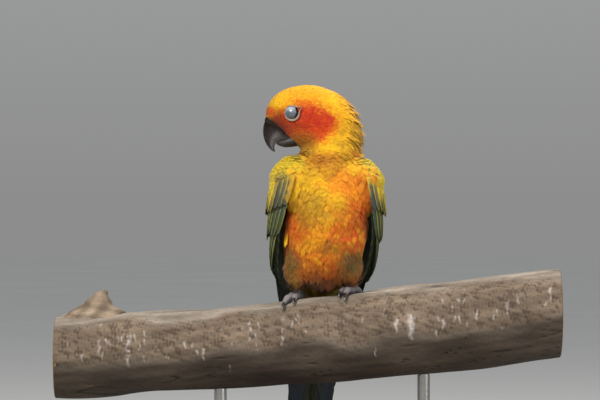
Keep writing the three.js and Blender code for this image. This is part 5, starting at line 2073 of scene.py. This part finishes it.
def branch_shape():
    """The branch's bark between its sawn ends."""
    x = np.linspace(PERCH_LEFT + 0.5, PERCH_RIGHT - 0.5, 500)[:, None]
    turn = round_turns(188)[None]
    height, tint = bark_marks(x, turn, perch_point(x, turn))
    ends = smooth(x, PERCH_LEFT, PERCH_LEFT + 1.2)
    ends = ends * (1 - smooth(x, PERCH_RIGHT - 1.2, PERCH_RIGHT))
    bark = loft(at_perch(perch_point(x, turn, (height - 0.35) * ends - 0.5 * (1 - ends))))
    bark.colour = np.clip(tint, 0.03, 2).reshape(-1, 3)
    return bark


def stub_shape():
    """The stub of a side branch near the branch's left end."""
    up = np.linspace(-14, KNOB_HEIGHT - 0.3, 40)[:, None]
    long, wide, shift = along_rows(KNOB_LINE, up)
    turn = round_turns(60)[None]
    rough = 1 + 0.07 * np.sin(3 * turn + up) + 0.03 * np.sin(11 * turn + 0.3 * up) - 0.03
    middle, radius = PERCH_LINE(np.array(float(KNOB_AT)))
    stub = loft(at_perch(np.stack([
        KNOB_AT + shift + np.cos(turn) * long * rough,
        np.sin(turn) * wide * rough,
        middle + radius + up + 0.8 * np.cos(turn)], -1)))
    stub.colour = same_shade(0.75 + 0.25 * mottle(stub.points, 5, 76))
    stub.colour = stub.colour * np.array([[1.05, 0.94, 0.82]])
    return stub


def sawn_end(place, way):
    """One sawn end of the branch: a disc with saw marks and year rings."""
    share = np.linspace(0.02, 1, 40)[:, None]
    turn = round_turns(96)[None]
    rim = perch_point(np.array(float(place)), turn, -1.0)
    centre = rim.mean(1, keepdims=True)
    face = centre + (rim - centre) * share[..., None]
    face[..., 0] = place - way * (0.05 + 0.12 * np.abs(np.sin(share * 42)))
    back = face[::-1].copy()
    back[..., 0] = place - way * 2
    disc = loft(at_perch(np.concatenate([face, back])))
    year = 0.82 + 0.18 * np.sin(share * 85 + 0.6 * np.sin(turn * 3))
    year = year * (0.55 + 0.45 * (1 - smooth(share, 0.9, 0.98)))
    disc.colour = same_shade(np.concatenate([year, year[::-1]]))
    return disc


def build_perch(scene):
    """The weathered branch with its bark, stub, sawn ends and old droppings."""
    colours = palette_of(scene.conure_mount)
    dark, cut = mix(colours["bark_dark"], colours["bark_light"], 0.45), colours["cut_wood"]
    bark = surface_material("Bark", colours["bark_light"], dark, colours["bark_rust"], 0.85,
                            (120, 1100), 0.0005, (0.3, 1, 1), marked=1.0, Specular_IOR_Level=0.2)
    wood = surface_material("Sawn Wood", cut, cut * 0.7, cut * 0.5, 0.7, (160, 1400), 0.00015,
                            marked=1.0)
    make_piece("branch_bark", merged([branch_shape(), stub_shape()]), bark, "branch_wood", ["perch"])
    for label, place, way in (("left", PERCH_LEFT, -1), ("right", PERCH_RIGHT, 1)):
        make_piece(f"{label}_sawn_end", sawn_end(place, way), wood, "branch_wood")


def build_stand(scene):
    """Finishes of the display stand's base and rods."""
    colours = palette_of(scene.conure_mount)
    dark, rod = colours["base_dark"], colours["rod"]
    wood = surface_material("Stand Wood", colours["base_light"], dark, dark * 0.6, 0.52, (38, 420),
                            0.00005, (0.12, 1, 1), Coat_Weight=0.1, Coat_Roughness=0.3)
    steel = surface_material("Brushed Steel", rod, rod * 0.8, rod * 0.7, 0.3, (90, 2500), 0.00002,
                             (1, 1, 0.05), Metallic=1.0)
    finishes = {"stand_base": wood, "stand_rod_left": steel, "stand_rod_right": steel}
    for name, material in finishes.items():
        mesh = frame["nodes"][name].data
        mesh.materials.clear()
        mesh.materials.append(material)


def add_floor(scene, tint):
    """The round pale floor, just under the part."""
    material = surface_material("Pale Floor", tint, tint * 0.97, tint * 0.94, 0.7, (3, 60), 0.0)
    turn = round_turns(FLOOR_SIDES)[None]
    reach = np.array(FLOOR_RADII)[:, None]
    disc = loft(np.stack([np.cos(turn) * reach, np.sin(turn) * reach,
                          0 * turn * reach - FLOOR_GAP], -1), closed=False)
    mesh = bpy.data.meshes.new("floor")
    mesh.from_pydata((disc.points * MM).tolist(), [],
                     disc.quads.tolist() + [list(range(FLOOR_SIDES))])
    mesh.materials.append(material)
    floor = bpy.data.objects.new("floor", mesh)
    scene.collection.objects.link(floor)
    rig.stage(floor)


def add_camera(scene, target, distance, field):
    """The camera straight in front of the target, level, with a field that wide there."""
    camera_data = bpy.data.cameras.new("camera")
    camera_data.sensor_width = SENSOR
    camera_data.lens = SENSOR * distance / field
    camera_data.clip_end = 50
    camera = bpy.data.objects.new("camera", camera_data)
    camera.location = target - Vector((0, distance, 0))
    camera.rotation_euler = (math.pi / 2, 0, 0)
    scene.collection.objects.link(camera)
    scene.camera = camera


def add_light(scene, target, name, place, size, power, tint):
    """A round soft light that looks at the target."""
    data = bpy.data.lights.new(name, "AREA")
    data.shape = "DISK"
    data.size = size
    data.energy = power
    data.color = tint
    light = bpy.data.objects.new(name, data)
    light.location = place
    light.rotation_euler = (target - light.location).to_track_quat("-Z", "Y").to_euler()
    scene.collection.objects.link(light)


def add_room(scene, strength):
    """Even light from all round, grey below and lighter above."""
    world = bpy.data.worlds.new("studio")
    world.use_nodes = True
    tree = world.node_tree
    sky = tree.nodes["Background"]
    height = node(tree, "SeparateXYZ", {0: node(tree, "TexCoord").outputs["Generated"]}).outputs[2]
    rise = spread(tree, height, 0.0, 0.35)
    low, high = (0.44, 0.443, 0.44, 1), (0.9, 0.92, 0.94, 1)
    tree.links.new(blended(tree, rise, low, high), sky.inputs["Color"])
    sky.inputs["Strength"].default_value = strength
    scene.world = world
    scene.view_settings.view_transform = "Standard"


def build_stage(scene):
    """The pale floor, the soft lights and the camera at the photographed angle."""
    settings = scene.conure_stage
    target = Vector((-0.0139, PERCH_PLACE[1] * MM, 0.1977))
    key, fill = settings.key_power, settings.fill_power
    add_floor(scene, np.array(settings.floor))
    add_camera(scene, target, settings.distance, settings.field)
    add_light(scene, target, "key light", (-0.62, -1.25, 1.3), 0.7, key, (1.0, 0.97, 0.92))
    add_light(scene, target, "fill light", (1.2, -0.9, 0.6), 1.0, fill, (0.92, 0.96, 1.0))
    add_light(scene, target, "top light", (0.25, 0.45, 1.2), 0.6, fill * 0.5, (1.0, 0.98, 0.95))
    add_room(scene, settings.sky)


# Operators, panel and registration.

STEPS = (
    ("skin", "Skin", "Build the one skin under the feathers", build_skin),
    ("coat", "Body Feathers", "Lay the small feathers of the head and trunk", build_coat),
    ("wings", "Wings", "Build both folded wings", build_wings),
    ("tail", "Tail", "Build the tail feathers", build_tail),
    ("bill", "Bill", "Build the bill and the cere", build_bill),
    ("eyes", "Eyes", "Build the eyes, third lids and eye rings", build_eyes),
    ("feet", "Feet", "Build the toes and claws", build_feet),
    ("perch", "Branch", "Build the branch with its bark", build_perch),
    ("stand", "Stand", "Finish the display stand", build_stand),
    ("stage", "Stage", "Set up floor, lights and camera", build_stage),
)
OPERATORS = [piece_operator(*step) for step in STEPS]
GROUPS = {
    "conure_plumage": PlumageSettings,
    "conure_wings": WingSettings,
    "conure_bare": BareSettings,
    "conure_mount": MountSettings,
    "conure_stage": StageSettings,
}


class CONURE_PT_model(bpy.types.Panel):
    """Lists the settings and the building steps"""
    bl_idname = "CONURE_PT_model"
    bl_label = "Sun Conure"
    bl_space_type = "VIEW_3D"
    bl_region_type = "UI"
    bl_category = "Conure"

    def draw(self, context):
        for step in STEPS:
            self.layout.operator(f"conure.{step[0]}")
        for group, kind in GROUPS.items():
            box = self.layout.box()
            for setting in kind.__annotations__:
                box.prop(getattr(context.scene, group), setting)


def register():
    """Registers the settings, operators and panel."""
    for kind in GROUPS.values():
        bpy.utils.register_class(kind)
    for group, kind in GROUPS.items():
        setattr(bpy.types.Scene, group, bpy.props.PointerProperty(type=kind))
    for operator in OPERATORS:
        bpy.utils.register_class(operator)
    bpy.utils.register_class(CONURE_PT_model)


def unregister():
    """Undoes register."""
    bpy.utils.unregister_class(CONURE_PT_model)
    for operator in reversed(OPERATORS):
        bpy.utils.unregister_class(operator)
    for group, kind in GROUPS.items():
        delattr(bpy.types.Scene, group)
        bpy.utils.unregister_class(kind)


def main():
    """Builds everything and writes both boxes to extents.json."""
    register()
    for step in STEPS:
        getattr(bpy.ops.conure, step[0])()
    visual_box = [list(corner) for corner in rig.bounds()]
    with open("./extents.json", "w") as out:
        json.dump({"cad": CAD_BOX, "visual": visual_box}, out)


if __name__ == "__main__":
    main()
